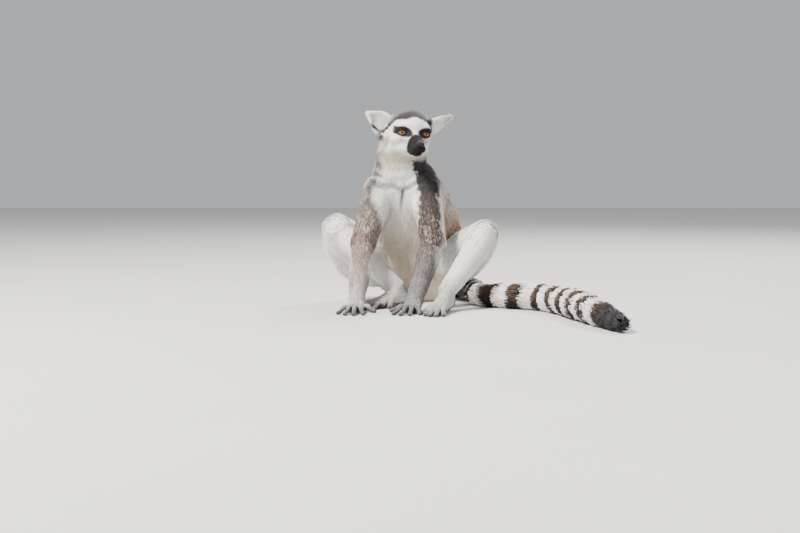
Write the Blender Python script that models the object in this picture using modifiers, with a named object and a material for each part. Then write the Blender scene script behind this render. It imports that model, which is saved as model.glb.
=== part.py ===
"""Ring-tailed lemur, life size, sitting on its rump with knees drawn up and out, both hands set down
in front, head turned a little to its left and tail laid on the floor round its left side.

Metres, +Z up, face towards -Y. The origin is the middle of the flat under the rump, on the floor.
Each solid is the outline of one part of the body, out to the tips of the coat."""

import math

import bmesh
import bpy
from mathutils import Matrix, Vector

GAP = 0.0003  # clear space between neighbouring parts
CUT_CLEARANCE = 1.5 * GAP  # how far a neighbour is grown before it cuts; corners keep about GAP
FLOOR_CUT = 0.4  # half-size of the block below the floor

# Joint centres. R is the animal's right, at -X, and L its left, at +X.
HIP = {"R": Vector((-0.036, 0.012, 0.058)), "L": Vector((0.036, -0.012, 0.058))}
KNEE = {"R": Vector((-0.129, -0.060, 0.120)), "L": Vector((0.095, -0.118, 0.112))}
ANKLE = {"R": Vector((-0.036, -0.100, 0.028)), "L": Vector((0.035, -0.186, 0.028))}
SHOULDER = {"R": Vector((-0.064, -0.074, 0.176)), "L": Vector((0.006, -0.086, 0.176))}
ELBOW = {"R": Vector((-0.087, -0.118, 0.100)), "L": Vector((0.018, -0.130, 0.101))}
WRIST = {"R": Vector((-0.096, -0.180, 0.018)), "L": Vector((-0.010, -0.185, 0.018))}

THIGH_LOOSE_COAT = {"R": 0.017, "L": 0.008}  # how far the thigh's coat hangs out sideways

# Headings on the floor, in degrees from -Y, positive towards +X.
BODY_HEADING = -14
HAND_HEADING = {"R": -6, "L": -15}
FOOT_HEADING = {"R": -37, "L": -16.5}

# Trunk and neck stations: centre, half-width and half-depth.
TRUNK = (
    ((0.000, 0.004, 0.036), 0.066, 0.052),
    ((0.001, 0.000, 0.070), 0.074, 0.058),
    ((-0.003, -0.010, 0.105), 0.0745, 0.057),
    ((-0.010, -0.032, 0.140), 0.068, 0.052),
    ((-0.0205, -0.052, 0.170), 0.0605, 0.0465),
    ((-0.0290, -0.065, 0.192), 0.0510, 0.0390),
)
NECK = (
    ((-0.0250, -0.058, 0.168), 0.0420, 0.0300),
    ((-0.0290, -0.067, 0.192), 0.0470, 0.0355),
    ((-0.0300, -0.074, 0.214), 0.0425, 0.0360),
    ((-0.0290, -0.082, 0.238), 0.0380, 0.0310),
)

# The head has its own frame: origin between the eyes, x to the animal's left, y to the back, z up.
EYES_MIDDLE = Vector((-0.0124, -0.120, 0.264))
HEAD_YAW, HEAD_PITCH, HEAD_ROLL = 18, 6, 4  # degrees: to its left, nose down, left side down
SKULL_BALLS = (  # centre and half-sizes of the masses that make the head's outline
    ((0, 0.028, 0.0045), (0.0325, 0.034, 0.0305)),  # braincase
    ((0, 0.009, 0.008), (0.0265, 0.020, 0.0185)),  # forehead and brows
    ((0.0180, 0.022, -0.012), (0.0205, 0.022, 0.0215)),  # left cheek ruff
    ((-0.0200, 0.022, -0.012), (0.0215, 0.022, 0.0225)),  # right cheek ruff
    ((0, 0.012, -0.0245), (0.0225, 0.025, 0.0155)),  # jaw and throat
)
MUZZLE = (  # centre, half-width and half-depth, from between the eyes to behind the nose
    ((0, 0.006, -0.0125), 0.0215, 0.0200),
    ((0, -0.012, -0.0175), 0.0155, 0.0165),
    ((0, -0.027, -0.0208), 0.0118, 0.0140),
    ((0, -0.034, -0.0210), 0.0092, 0.0118),
)
NOSE_CENTRE, NOSE_SIZE = (0, -0.0400, -0.0130), (0.0062, 0.0048, 0.0050)
EYE_OFFSET, EYE_RADIUS = 0.0178, 0.0078
EYE_DEPTH = 0.0010  # centres this far behind the line between the eye fronts' middles
EAR_BASE = {"left": Vector((0.0285, 0.027, 0.008)), "right": Vector((-0.0285, 0.027, 0.001))}
EAR_LENGTH, EAR_HALF_WIDTH, EAR_THICKNESS, EAR_CUP = 0.044, 0.0225, 0.0045, 0.009
EAR_TIP_SHIFT = 0.007  # the tip's distance from the middle line, towards the upper edge
EAR_SPREAD = {"left": 69, "right": 68}  # degrees, outwards from straight up
EAR_SWEEP = 16  # degrees, backwards
EAR_TURN = {"left": 62, "right": 8}  # degrees, the opening from forwards to outwards

# Digits: where each starts on the palm or sole (across, forward), its heading and its length.
FINGERS = (
    ((-0.0110, 0.010), -52, 0.026),  # thumb
    ((-0.0080, 0.027), -15, 0.037),
    ((-0.0022, 0.029), -3, 0.043),
    ((0.0040, 0.028), 7, 0.041),
    ((0.0095, 0.024), 21, 0.033),
)
TOES = (
    ((-0.0090, 0.036), -30, 0.028),  # great toe
    ((-0.0068, 0.059), -9, 0.029),
    ((-0.0015, 0.061), -2, 0.034),
    ((0.0040, 0.060), 5, 0.035),
    ((0.0092, 0.057), 14, 0.031),
)
FINGER_RADIUS, TOE_RADIUS, THUMB_SWELL = 0.0042, 0.0046, 1.25
DIGIT_TIP = 0.74  # a digit's radius at its tip, as a share of that at its root

# Tail: the line along its middle, and its radius at even steps along it.
TAIL_LINE = (
    (0.004, 0.034, 0.0300),
    (0.046, 0.052, 0.0195),
    (0.082, 0.020, 0.0175),
    (0.086, -0.040, 0.0175),
    (0.092, -0.100, 0.0175),
    (0.132, -0.138, 0.0180),
    (0.176, -0.172, 0.0190),
    (0.202, -0.232, 0.0200),
    (0.214, -0.300, 0.0205),
    (0.228, -0.368, 0.0195),
    (0.244, -0.430, 0.0145),
)
TAIL_RADII = (0.017, 0.0185, 0.0185, 0.019, 0.0195, 0.0205, 0.0215, 0.022, 0.0215, 0.0195, 0.015)
TAIL_LENGTHS = 5
TAIL_STEPS, TAIL_SIDES = 7, 12  # of each length of tail
TAIL_TIP_BULGE, TAIL_TIP_RINGS = 0.028, 4

COLOURS = {
    "white": (0.78, 0.76, 0.71),
    "grey": (0.36, 0.33, 0.30),
    "brown": (0.40, 0.31, 0.24),
    "black": (0.025, 0.023, 0.024),
    "amber": (0.62, 0.25, 0.03),
}
COAT_ROUGHNESS, WET_ROUGHNESS = 0.85, 0.18


def heading_vector(degrees):
    """Level direction at that heading from -Y, positive towards +X."""
    angle = math.radians(degrees)
    return Vector((math.sin(angle), -math.cos(angle), 0))


def left_of(degrees):
    """Level direction at the left hand of something that faces that heading."""
    angle = math.radians(degrees)
    return Vector((math.cos(angle), math.sin(angle), 0))


def head_matrix():
    turn = (
        Matrix.Rotation(math.radians(HEAD_YAW), 4, "Z")
        @ Matrix.Rotation(math.radians(HEAD_ROLL), 4, "Y")
        @ Matrix.Rotation(math.radians(HEAD_PITCH), 4, "X")
    )
    return Matrix.Translation(EYES_MIDDLE) @ turn


def material(name, colour, roughness=COAT_ROUGHNESS):
    made = bpy.data.materials.get(name)
    if made is None:
        made = bpy.data.materials.new(name)
        made.use_nodes = True
        shader = made.node_tree.nodes["Principled BSDF"]
        shader.inputs["Base Color"].default_value = (*COLOURS[colour], 1)
        shader.inputs["Roughness"].default_value = roughness
    return made


def new_object(name, mesh, collection, surface=None):
    thing = bpy.data.objects.new(name, mesh)
    collection.objects.link(thing)
    if surface:
        mesh.materials.clear()
        mesh.materials.append(surface)
    return thing


def mesh_from(working, name):
    bmesh.ops.recalc_face_normals(working, faces=working.faces)
    mesh = bpy.data.meshes.new(name)
    working.to_mesh(mesh)
    working.free()
    mesh.shade_smooth()
    return mesh


def spline(values, at):
    """A value on the smooth curve through values, at runs from 0 to their number less one."""
    k = min(int(at), len(values) - 2)
    t = at - k
    before, a, b, after = (
        values[max(k - 1, 0)],
        values[k],
        values[k + 1],
        values[min(k + 2, len(values) - 1)],
    )
    return (
        a * (2 * t**3 - 3 * t**2 + 1)
        + (b - before) * 0.5 * (t**3 - 2 * t**2 + t)
        + b * (3 * t**2 - 2 * t**3)
        + (after - a) * 0.5 * (t**3 - t**2)
    )


def sections_along(stations, steps):
    """Sections (centre, half-width, half-depth) at even steps on the smooth curve through the stations."""
    centres = [Vector(s[0]) for s in stations]
    widths, depths = [s[1] for s in stations], [s[2] for s in stations]
    marks = [k * (len(stations) - 1) / steps for k in range(steps + 1)]
    return [(spline(centres, m), spline(widths, m), spline(depths, m)) for m in marks]


def dome(section, outwards, bulge, rings):
    """Sections that close an end: they shrink as they go outwards."""
    centre, width, depth = section
    made = []
    for k in range(1, rings + 1):
        angle = math.pi / 2 * k / (rings + 0.6)
        size = math.cos(angle)
        made.append((centre + outwards * bulge * math.sin(angle), width * size, depth * size))
    return made


def rings_of(body, side, sides):
    """Points of each section, square to the line through the centres."""
    rings = []
    for k, (centre, width, depth) in enumerate(body):
        way = (body[min(k + 1, len(body) - 1)][0] - body[max(k - 1, 0)][0]).normalized()
        across = (side - side.dot(way) * way).normalized()
        over = way.cross(across)
        angles = [2 * math.pi * i / sides for i in range(sides)]
        rings.append(
            [centre + across * width * math.cos(a) + over * depth * math.sin(a) for a in angles]
        )
    return rings


def closed_tube(name, rings):
    working = bmesh.new()
    made = [[working.verts.new(point) for point in ring] for ring in rings]
    sides = len(made[0])
    for low, high in zip(made, made[1:]):
        for i in range(sides):
            j = (i + 1) % sides
            working.faces.new((low[i], low[j], high[j], high[i]))
    working.faces.new(made[0])
    working.faces.new(made[-1])
    return mesh_from(working, name)


def loft(name, stations, side, sides=12, steps=8, bulges=(1.0, 1.0), dome_rings=2):
    """A closed body of oval sections through the stations. side is the way the half-widths run.
    bulges says how far each domed end stands out, as a share of the end's half-depth; 0 is a flat end."""
    body = sections_along(stations, steps)
    first_way = (body[0][0] - body[1][0]).normalized()
    last_way = (body[-1][0] - body[-2][0]).normalized()
    if bulges[0]:
        start = dome(body[0], first_way, bulges[0] * body[0][2], dome_rings)
        body = list(reversed(start)) + body
    if bulges[1]:
        body = body + dome(body[-1], last_way, bulges[1] * body[-1][2], dome_rings)
    return closed_tube(name, rings_of(body, side, sides))


def ball(name, centre, sizes, around=12, along=8):
    working = bmesh.new()
    bmesh.ops.create_uvsphere(working, u_segments=around, v_segments=along, radius=1)
    place = Matrix.Translation(Vector(centre)) @ Matrix.Diagonal((*sizes, 1))
    bmesh.ops.transform(working, matrix=place, verts=working.verts)
    return mesh_from(working, name)


def evaluated_mesh(thing):
    bpy.context.view_layer.update()
    graph = bpy.context.evaluated_depsgraph_get()
    return bpy.data.meshes.new_from_object(thing.evaluated_get(graph))


def take_mesh(thing):
    """Replaces an object's mesh by the one its modifiers make."""
    mesh = evaluated_mesh(thing)
    thing.modifiers.clear()
    old, thing.data = thing.data, mesh
    bpy.data.meshes.remove(old)


def combine(thing, others, operation):
    """Joins or cuts thing with the others, one after the other."""
    for other in others:
        step = thing.modifiers.new(f"{operation} {other.name}", "BOOLEAN")
        step.operation = operation
        step.solver = "EXACT"
        step.object = other
        take_mesh(thing)


def keep_cutter(thing):
    """Keeps a copy of a part as it is before its own cuts, with its surface moved out, to cut
    neighbours with."""
    cutter = new_object(f"cutter_{thing.name}", thing.data.copy(), CUTTERS)
    swell = cutter.modifiers.new("grow", "DISPLACE")
    swell.strength = CUT_CLEARANCE
    swell.mid_level = 0
    take_mesh(cutter)
    cutter.hide_render = True
    cutter.display_type = "WIRE"
    CUTTER_OF[thing.name] = cutter
    return thing


def largest_piece_only(thing):
    """Drops crumbs that a cut leaves beside the part."""
    working = bmesh.new()
    working.from_mesh(thing.data)
    left, pieces = set(working.verts), []
    while left:
        todo, piece = [left.pop()], []
        while todo:
            vert = todo.pop()
            piece.append(vert)
            for edge in vert.link_edges:
                near = edge.other_vert(vert)
                if near in left:
                    left.remove(near)
                    todo.append(near)
        pieces.append(piece)
    pieces.sort(key=len)
    crumbs = [vert for piece in pieces[:-1] for vert in piece]
    bmesh.ops.delete(working, geom=crumbs, context="VERTS")
    working.to_mesh(thing.data)
    working.free()


def make_room(thing, *neighbours):
    """Cuts each neighbour, with the gap, out of thing."""
    combine(thing, [CUTTER_OF[other.name] for other in neighbours], "DIFFERENCE")
    largest_piece_only(thing)


def flatten_on_floor(thing):
    """Cuts off what would be below the floor, which leaves the flats that the body rests on."""
    working = bmesh.new()
    bmesh.ops.create_cube(working, size=2 * FLOOR_CUT)
    bmesh.ops.translate(working, verts=working.verts, vec=(0, 0, -FLOOR_CUT))
    block = new_object("cutter_floor", mesh_from(working, "cutter_floor"), CUTTERS)
    block.location = (0, -0.15, 0)
    combine(thing, [block], "DIFFERENCE")
    bpy.data.objects.remove(block)
    largest_piece_only(thing)


def make_trunk():
    side = left_of(BODY_HEADING)
    mesh = loft("trunk", TRUNK, side, sides=16, steps=9, bulges=(0.80, 0.5), dome_rings=3)
    thing = new_object("trunk", mesh, LEMUR, material("coat_grey_brown", "brown"))
    keep_cutter(thing)
    flatten_on_floor(thing)
    return thing


def make_neck(trunk):
    mesh = loft("neck", NECK, left_of(BODY_HEADING), sides=16, steps=7, bulges=(0.3, 0.3))
    thing = new_object("neck", mesh, LEMUR, material("coat_grey", "grey"))
    keep_cutter(thing)
    make_room(thing, trunk)
    return thing


def make_head(neck, eyes, nose):
    """Masses of the skull and muzzle, melted into one by a voxel remesh and thinned to few faces."""
    across = Vector((1, 0, 0))
    muzzle = loft("muzzle", MUZZLE, across, sides=14, steps=6, bulges=(0.2, 0.55))
    working = bmesh.new()
    working.from_mesh(muzzle)
    for centre, sizes in SKULL_BALLS:
        working.from_mesh(ball("mass", centre, sizes, around=24, along=16))
    bmesh.ops.transform(working, matrix=head_matrix(), verts=working.verts)
    mesh = mesh_from(working, "head")
    thing = new_object("head", mesh, LEMUR, material("coat_white", "white"))
    melt = thing.modifiers.new("melt", "REMESH")
    melt.mode = "VOXEL"
    melt.voxel_size = 0.0018
    soften = thing.modifiers.new("soften", "SMOOTH")
    soften.factor = 0.5
    soften.iterations = 6
    thin = thing.modifiers.new("thin", "DECIMATE")
    thin.ratio = 0.036
    take_mesh(thing)
    keep_cutter(thing)
    make_room(thing, neck, *eyes, nose)
    return thing


def make_eye(side, sign):
    centre = head_matrix() @ Vector((sign * EYE_OFFSET, EYE_DEPTH, 0))
    mesh = ball(f"eye_{side}", centre, (EYE_RADIUS,) * 3)
    thing = new_object(f"eye_{side}", mesh, LEMUR, material("eye_amber", "amber", WET_ROUGHNESS))
    return keep_cutter(thing)


def make_nose():
    mesh = ball("nose", NOSE_CENTRE, NOSE_SIZE, around=12, along=8)
    mesh.transform(head_matrix())
    surface = material("nose_black", "black", 2 * WET_ROUGHNESS)
    return keep_cutter(new_object("nose", mesh, LEMUR, surface))


def make_ear(side, sign, head):
    """A leaf that is cupped towards the front, thickened to a shell."""
    rows, columns = 5, 5
    working = bmesh.new()
    grid = []
    for r in range(rows + 1):
        along = r / rows
        half = EAR_HALF_WIDTH * max((1 - along**2) ** 0.8 * (0.8 + 0.45 * along), 0.1)
        middle = -EAR_TIP_SHIFT * along**2
        row = []
        for c in range(columns + 1):
            across = 2 * c / columns - 1
            cup = EAR_CUP * (across**2 - 0.6) * (1 - 0.55 * along)
            point = (sign * (middle + half * across), -cup, EAR_LENGTH * along)
            row.append(working.verts.new(point))
        grid.append(row)
    for low, high in zip(grid, grid[1:]):
        for c in range(columns):
            working.faces.new((low[c], low[c + 1], high[c + 1], high[c]))
    turn = Matrix.Rotation(math.radians(sign * EAR_TURN[side]), 4, "Z")
    lean = Matrix.Rotation(math.radians(sign * EAR_SPREAD[side]), 4, "Y")
    sweep = Matrix.Rotation(math.radians(-EAR_SWEEP), 4, "X")
    place = head_matrix() @ Matrix.Translation(EAR_BASE[side]) @ sweep @ lean @ turn
    bmesh.ops.transform(working, matrix=place, verts=working.verts)
    mesh = mesh_from(working, f"ear_{side}")
    thing = new_object(f"ear_{side}", mesh, LEMUR, material("coat_white", "white"))
    shell = thing.modifiers.new("shell", "SOLIDIFY")
    shell.thickness = EAR_THICKNESS
    shell.offset = 0
    take_mesh(thing)
    make_room(thing, head)
    return thing


def limb(name, stations, side, colour, neighbours, sides=12, steps=8, bulges=(0.8, 0.8)):
    mesh = loft(name, stations, side, sides=sides, steps=steps, bulges=bulges)
    thing = new_object(name, mesh, LEMUR, material(f"coat_{colour}", colour))
    keep_cutter(thing)
    make_room(thing, *neighbours)
    return thing


def between(a, b, share, shift=(0, 0, 0)):
    return a.lerp(b, share) + Vector(shift)


def make_arm(key, name, trunk, neck):
    shoulder, elbow, wrist = SHOULDER[key], ELBOW[key], WRIST[key]
    side = left_of(BODY_HEADING)
    upper = limb(
        f"arm_{name}_upper",
        (
            (shoulder, 0.0245, 0.0280),
            (between(shoulder, elbow, 0.45), 0.0225, 0.0270),
            (between(shoulder, elbow, 0.80), 0.0205, 0.0245),
            (elbow, 0.0195, 0.0215),
        ),
        side,
        "brown",
        [trunk, neck],
    )
    fore = limb(
        f"arm_{name}_fore",
        (
            (elbow, 0.0185, 0.0190),
            (between(elbow, wrist, 0.30), 0.0188, 0.0188),
            (between(elbow, wrist, 0.65), 0.0160, 0.0160),
            (wrist, 0.0120, 0.0115),
        ),
        side,
        "grey",
        [upper, trunk],
    )
    return upper, fore


def make_leg(key, name, sign, trunk, arms):
    """The thigh's width runs square to the bent leg's plane, where its loose coat hangs outwards."""
    hip, knee, ankle = HIP[key], KNEE[key], ANKLE[key]
    outer = (ankle - knee).cross(hip - knee).normalized() * sign
    loose = THIGH_LOOSE_COAT[key]
    thigh = limb(
        f"leg_{name}_thigh",
        (
            (hip + outer * 0.004, 0.0400, 0.0380),
            (between(hip, knee, 0.40, outer * loose), 0.0300 + loose, 0.0370),
            (between(hip, knee, 0.72, outer * loose * 0.8), 0.0250 + loose * 0.8, 0.0310),
            (knee + outer * loose * 0.18, 0.0220 + loose * 0.18, 0.0235),
        ),
        outer,
        "white",
        [trunk, *arms],
        sides=14,
    )
    shank = limb(
        f"leg_{name}_shank",
        (
            (between(knee, ankle, 0.02), 0.0205, 0.0205),
            (between(knee, ankle, 0.30, outer * 0.003), 0.0200, 0.0210),
            (between(knee, ankle, 0.70, outer * 0.002), 0.0160, 0.0170),
            (ankle, 0.0130, 0.0130),
        ),
        outer,
        "white",
        [thigh, trunk, *arms],
    )
    return thigh, shank


def digit(name, root, heading, length, radius, lift):
    """A finger or toe: it leaves the knuckle level, arches a little and comes down onto its tip."""
    way = heading_vector(heading)
    tip_radius = radius * DIGIT_TIP
    rise = (lift, lift + 0.10 * length, 0.5 * (lift + tip_radius), tip_radius - 0.0006)
    shares = (0.0, 0.36, 0.72, 1.0)
    reach = length - tip_radius
    stations = [
        (
            Vector((root.x, root.y, 0)) + way * reach * share + Vector((0, 0, height)),
            radius + (tip_radius - radius) * share,
            radius + (tip_radius - radius) * share,
        )
        for share, height in zip(shares, rise)
    ]
    across = way.cross(Vector((0, 0, 1)))
    mesh = loft(name, stations, across, sides=6, steps=3, bulges=(0, 1.0))
    return new_object(name, mesh, CUTTERS)


def extremity(name, colour, centre_line, root, heading, sign, digits, radius, neighbours):
    """A palm or sole with its five digits, joined into one piece and set flat on the floor."""
    facing, left = heading_vector(heading), left_of(heading)
    mesh = loft(name, centre_line, left, sides=9, steps=5, bulges=(0.7, 0.6))
    thing = new_object(name, mesh, LEMUR, material(f"coat_{colour}", colour))
    joined = []
    for number, ((across, forward), turn, length) in enumerate(digits):
        start = root + left * across * sign + facing * forward
        size = radius * (THUMB_SWELL if number == 0 else 1)
        turned = heading + sign * turn
        joined.append(
            digit(f"{name}_digit_{number + 1}", start, turned, length, size, 1.35 * radius)
        )
    combine(thing, joined, "UNION")
    for piece in joined:
        bpy.data.objects.remove(piece)
    keep_cutter(thing)
    flatten_on_floor(thing)
    make_room(thing, *neighbours)
    return thing


def make_hand(key, name, sign, neighbours):
    wrist, heading = WRIST[key], HAND_HEADING[key]
    facing = heading_vector(heading)
    floor_point = Vector((wrist.x, wrist.y, 0))
    palm = (
        (wrist + Vector((0, 0, -0.002)), 0.0112, 0.0100),
        (floor_point + facing * 0.016 + Vector((0, 0, 0.0085)), 0.0140, 0.0085),
        (floor_point + facing * 0.031 + Vector((0, 0, 0.0068)), 0.0138, 0.0066),
    )
    return extremity(
        f"hand_{name}", "grey", palm, floor_point, heading, sign, FINGERS, FINGER_RADIUS, neighbours
    )


def make_foot(key, name, sign, neighbours):
    ankle, heading = ANKLE[key], FOOT_HEADING[key]
    facing = heading_vector(heading)
    heel = Vector((ankle.x, ankle.y, 0)) - facing * 0.010
    sole = (
        (heel + Vector((0, 0, 0.0135)), 0.0115, 0.0140),
        (heel + facing * 0.018 + Vector((0, 0, 0.0140)), 0.0125, 0.0140),
        (heel + facing * 0.042 + Vector((0, 0, 0.0100)), 0.0130, 0.0100),
        (heel + facing * 0.062 + Vector((0, 0, 0.0075)), 0.0138, 0.0075),
    )
    return extremity(
        f"foot_{name}", "white", sole, heel, heading, sign, TOES, TOE_RADIUS, neighbours
    )


def make_tail(neighbours):
    """One long smooth tube, parted by thin gaps into lengths."""
    line = [Vector(point) for point in TAIL_LINE]
    stations = [(point, radius, radius) for point, radius in zip(line, TAIL_RADII)]
    body = sections_along(stations, TAIL_LENGTHS * TAIL_STEPS)
    tip_way = (body[-1][0] - body[-2][0]).normalized()
    body += dome(body[-1], tip_way, TAIL_TIP_BULGE, TAIL_TIP_RINGS)
    rings = rings_of(body, Vector((0, 0, 1)), TAIL_SIDES)
    for number in range(TAIL_LENGTHS):
        first = number * TAIL_STEPS
        last = len(rings) - 1 if number == TAIL_LENGTHS - 1 else first + TAIL_STEPS
        part = rings[first : last + 1]
        if number:
            ahead = (body[first + 1][0] - body[first - 1][0]).normalized() * GAP
            part = [[point + ahead for point in part[0]], *part[1:]]
        mesh = closed_tube(f"tail_{number + 1}", part)
        thing = new_object(mesh.name, mesh, LEMUR, material("coat_grey", "grey"))
        flatten_on_floor(thing)
        if number < 2:
            make_room(thing, *neighbours)


def main():
    trunk = make_trunk()
    neck = make_neck(trunk)
    eyes = [make_eye("left", 1), make_eye("right", -1)]
    head = make_head(neck, eyes, make_nose())
    for name, sign in (("left", 1), ("right", -1)):
        make_ear(name, sign, head)
    thighs = []
    for key, name, sign in (("L", "left", 1), ("R", "right", -1)):
        upper, fore = make_arm(key, name, trunk, neck)
        thigh, shank = make_leg(key, name, sign, trunk, [upper, fore])
        hand = make_hand(key, name, sign, [fore])
        make_foot(key, name, sign, [shank, hand, fore])
        thighs.append(thigh)
    make_tail([trunk, *thighs])


for old in list(bpy.data.objects):
    bpy.data.objects.remove(old)
LEMUR = bpy.data.collections.new("lemur")
CUTTERS = bpy.data.collections.new("cutters")
CUTTER_OF = {}  # the name of each part and the body that cuts its neighbours
for collection in (LEMUR, CUTTERS):
    bpy.context.scene.collection.children.link(collection)
main()
bpy.context.scene.collection.children.unlink(CUTTERS)
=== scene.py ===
"""A sitting ring-tailed lemur as a museum model.

It has one skin, eyes, a nose, nails, and a coat of mesh tufts. All lengths are in metres.
The animal faces -Y, and its own left is towards +X.
"""

import itertools
import math

import bmesh
import bpy
import numpy as np
import openvdb
from mathutils import Matrix, Vector


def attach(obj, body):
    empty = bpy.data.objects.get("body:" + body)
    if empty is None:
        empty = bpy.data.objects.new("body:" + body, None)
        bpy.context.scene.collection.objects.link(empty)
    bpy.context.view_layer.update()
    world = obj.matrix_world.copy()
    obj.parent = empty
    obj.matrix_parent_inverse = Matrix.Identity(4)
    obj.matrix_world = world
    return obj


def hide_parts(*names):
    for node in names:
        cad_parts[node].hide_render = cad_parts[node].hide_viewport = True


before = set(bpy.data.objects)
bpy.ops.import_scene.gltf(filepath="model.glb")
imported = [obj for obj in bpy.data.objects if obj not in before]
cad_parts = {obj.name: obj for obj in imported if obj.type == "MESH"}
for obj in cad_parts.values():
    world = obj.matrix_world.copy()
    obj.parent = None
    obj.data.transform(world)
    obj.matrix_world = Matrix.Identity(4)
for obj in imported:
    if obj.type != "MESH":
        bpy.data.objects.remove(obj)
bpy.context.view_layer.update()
CHANCE = np.random.default_rng(11)

# ---------------------------------------------------------------- the pose
HIP = {"R": (-0.036, 0.012, 0.058), "L": (0.036, -0.012, 0.058)}
KNEE = {"R": (-0.129, -0.060, 0.120), "L": (0.095, -0.118, 0.112)}
ANKLE = {"R": (-0.036, -0.100, 0.028), "L": (0.035, -0.186, 0.028)}
SHOULDER = {"R": (-0.064, -0.074, 0.176), "L": (0.006, -0.086, 0.176)}
ELBOW = {"R": (-0.087, -0.118, 0.100), "L": (0.018, -0.130, 0.101)}
WRIST = {"R": (-0.096, -0.180, 0.018), "L": (-0.010, -0.185, 0.018)}
SIGN, SIDE_NAME = {"L": 1, "R": -1}, {"L": "left", "R": "right"}
THIGH_LOOSE = {"R": 0.017, "L": 0.008}  # how far the thigh's coat hangs out sideways

# Headings on the floor, in degrees from -Y, positive towards +X.
BODY_HEADING = -14
PAW_HEADING = {"hand": {"R": -6, "L": -15}, "foot": {"R": -37, "L": -16.5}}
PAW_JOINT = {"hand": WRIST, "foot": ANKLE}

# Stations of the coat's outline: centre, half-width, half-depth, and the coat's depth there.
TRUNK = (
    ((0.000, 0.004, 0.036), 0.066, 0.052, 0.010),
    ((0.001, 0.000, 0.070), 0.074, 0.058, 0.011),
    ((-0.003, -0.010, 0.105), 0.0745, 0.057, 0.011),
    ((-0.010, -0.032, 0.140), 0.068, 0.052, 0.010),
    ((-0.0205, -0.052, 0.170), 0.0605, 0.0465, 0.009),
    ((-0.0290, -0.065, 0.192), 0.0510, 0.0390, 0.008),
)
NECK = (
    ((-0.0250, -0.058, 0.168), 0.0420, 0.0300, 0.008),
    ((-0.0290, -0.067, 0.192), 0.0470, 0.0355, 0.009),
    ((-0.0300, -0.074, 0.214), 0.0425, 0.0360, 0.009),
    ((-0.0290, -0.082, 0.238), 0.0380, 0.0310, 0.008),
)
TAIL_LINE = (
    (0.004, 0.034, 0.0300),
    (0.046, 0.052, 0.0195),
    (0.082, 0.020, 0.0175),
    (0.086, -0.040, 0.0175),
    (0.092, -0.100, 0.0175),
    (0.132, -0.138, 0.0180),
    (0.176, -0.172, 0.0190),
    (0.202, -0.232, 0.0200),
    (0.214, -0.300, 0.0205),
    (0.228, -0.368, 0.0195),
    (0.244, -0.430, 0.0145),
)
TAIL_RADII = (0.017, 0.0185, 0.0185, 0.019, 0.0195, 0.0205, 0.0215, 0.022, 0.0215, 0.0195, 0.015)
TAIL_COAT, TAIL_TIP = 0.0112, 0.028 * 0.75

# The head's own frame: origin between the eyes, x to the animal's left, y to the back, z up.
EYES_MIDDLE = (-0.0124, -0.120, 0.264)
HEAD_YAW, HEAD_PITCH, HEAD_ROLL = 18, 6, 4  # degrees
EYE_OFFSET, EYE_RADIUS, EYE_DEPTH = 0.0178, 0.0078, 0.0010
EYE_OUTWARD = 14  # degrees that each eye looks outwards of straight ahead
LID_RADIUS = 0.0092
# Degrees seen from the eye: the lids' opening, how much its outer corner is raised, and the
# height of the crease over it.
LID_HALF_WIDTH, LID_UPPER, LID_LOWER, LID_TILT, LID_CREASE = 54, 17, 22, 5, 15
NOSE_CENTRE, NOSE_SIZE = (0, -0.0400, -0.0130), (0.0062, 0.0048, 0.0050)
EAR_BASE = {"L": (0.0285, 0.027, 0.008), "R": (-0.0285, 0.027, 0.001)}
EAR_LENGTH, EAR_HALF_WIDTH, EAR_CUP = 0.0375, 0.0185, 0.008
EAR_TIP_SHIFT, EAR_THICKNESS = 0.007, 0.0023
EAR_SPREAD, EAR_SWEEP, EAR_TURN = {"L": 69, "R": 68}, 16, {"L": 62, "R": 8}  # degrees
# Masses of the head: centre and sizes. The first two are the braincase and the face.
HEAD_MASSES = (
    ((0, 0.027, 0.004), (0.0285, 0.0305, 0.0265)),
    ((0, 0.008, 0.0065), (0.0235, 0.0175, 0.0160)),
    ((0, -0.012, -0.0172), (0.0150, 0.026, 0.0155)),
    ((0.0125, 0.012, -0.022), (0.012, 0.020, 0.012)),
    ((-0.0125, 0.012, -0.022), (0.012, 0.020, 0.012)),
    ((0.0185, 0.004, -0.004), (0.0115, 0.0150, 0.0130)),
    ((-0.0185, 0.004, -0.004), (0.0115, 0.0150, 0.0130)),
)
THROAT = ((0, 0.014, -0.020), (0.018, 0.022, 0.015))
# Of the left side, mirrored for the right: centre, sizes and how far it melts into the rest.
SIDE_MASSES = (
    ((0.0165, -0.0005, 0.0085), (0.0085, 0.006, 0.0045), 0.004),  # brow
    ((0.0195, 0.008, -0.011), (0.0085, 0.014, 0.009), 0.007),  # cheekbone
    ((0.0125, 0.012, -0.024), (0.008, 0.018, 0.008), 0.008),  # jaw
    ((0.0050, -0.0315, -0.0215), (0.0056, 0.0085, 0.0056), 0.003),  # whisker pad
)
MUZZLE = (
    ((0, 0.006, -0.0125), 0.0203, 0.0185, 0),
    ((0, -0.012, -0.0175), 0.0146, 0.0156, 0),
    ((0, -0.027, -0.0209), 0.0110, 0.0133, 0),
    ((0, -0.0345, -0.0215), 0.0083, 0.0110, 0),
)

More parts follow.
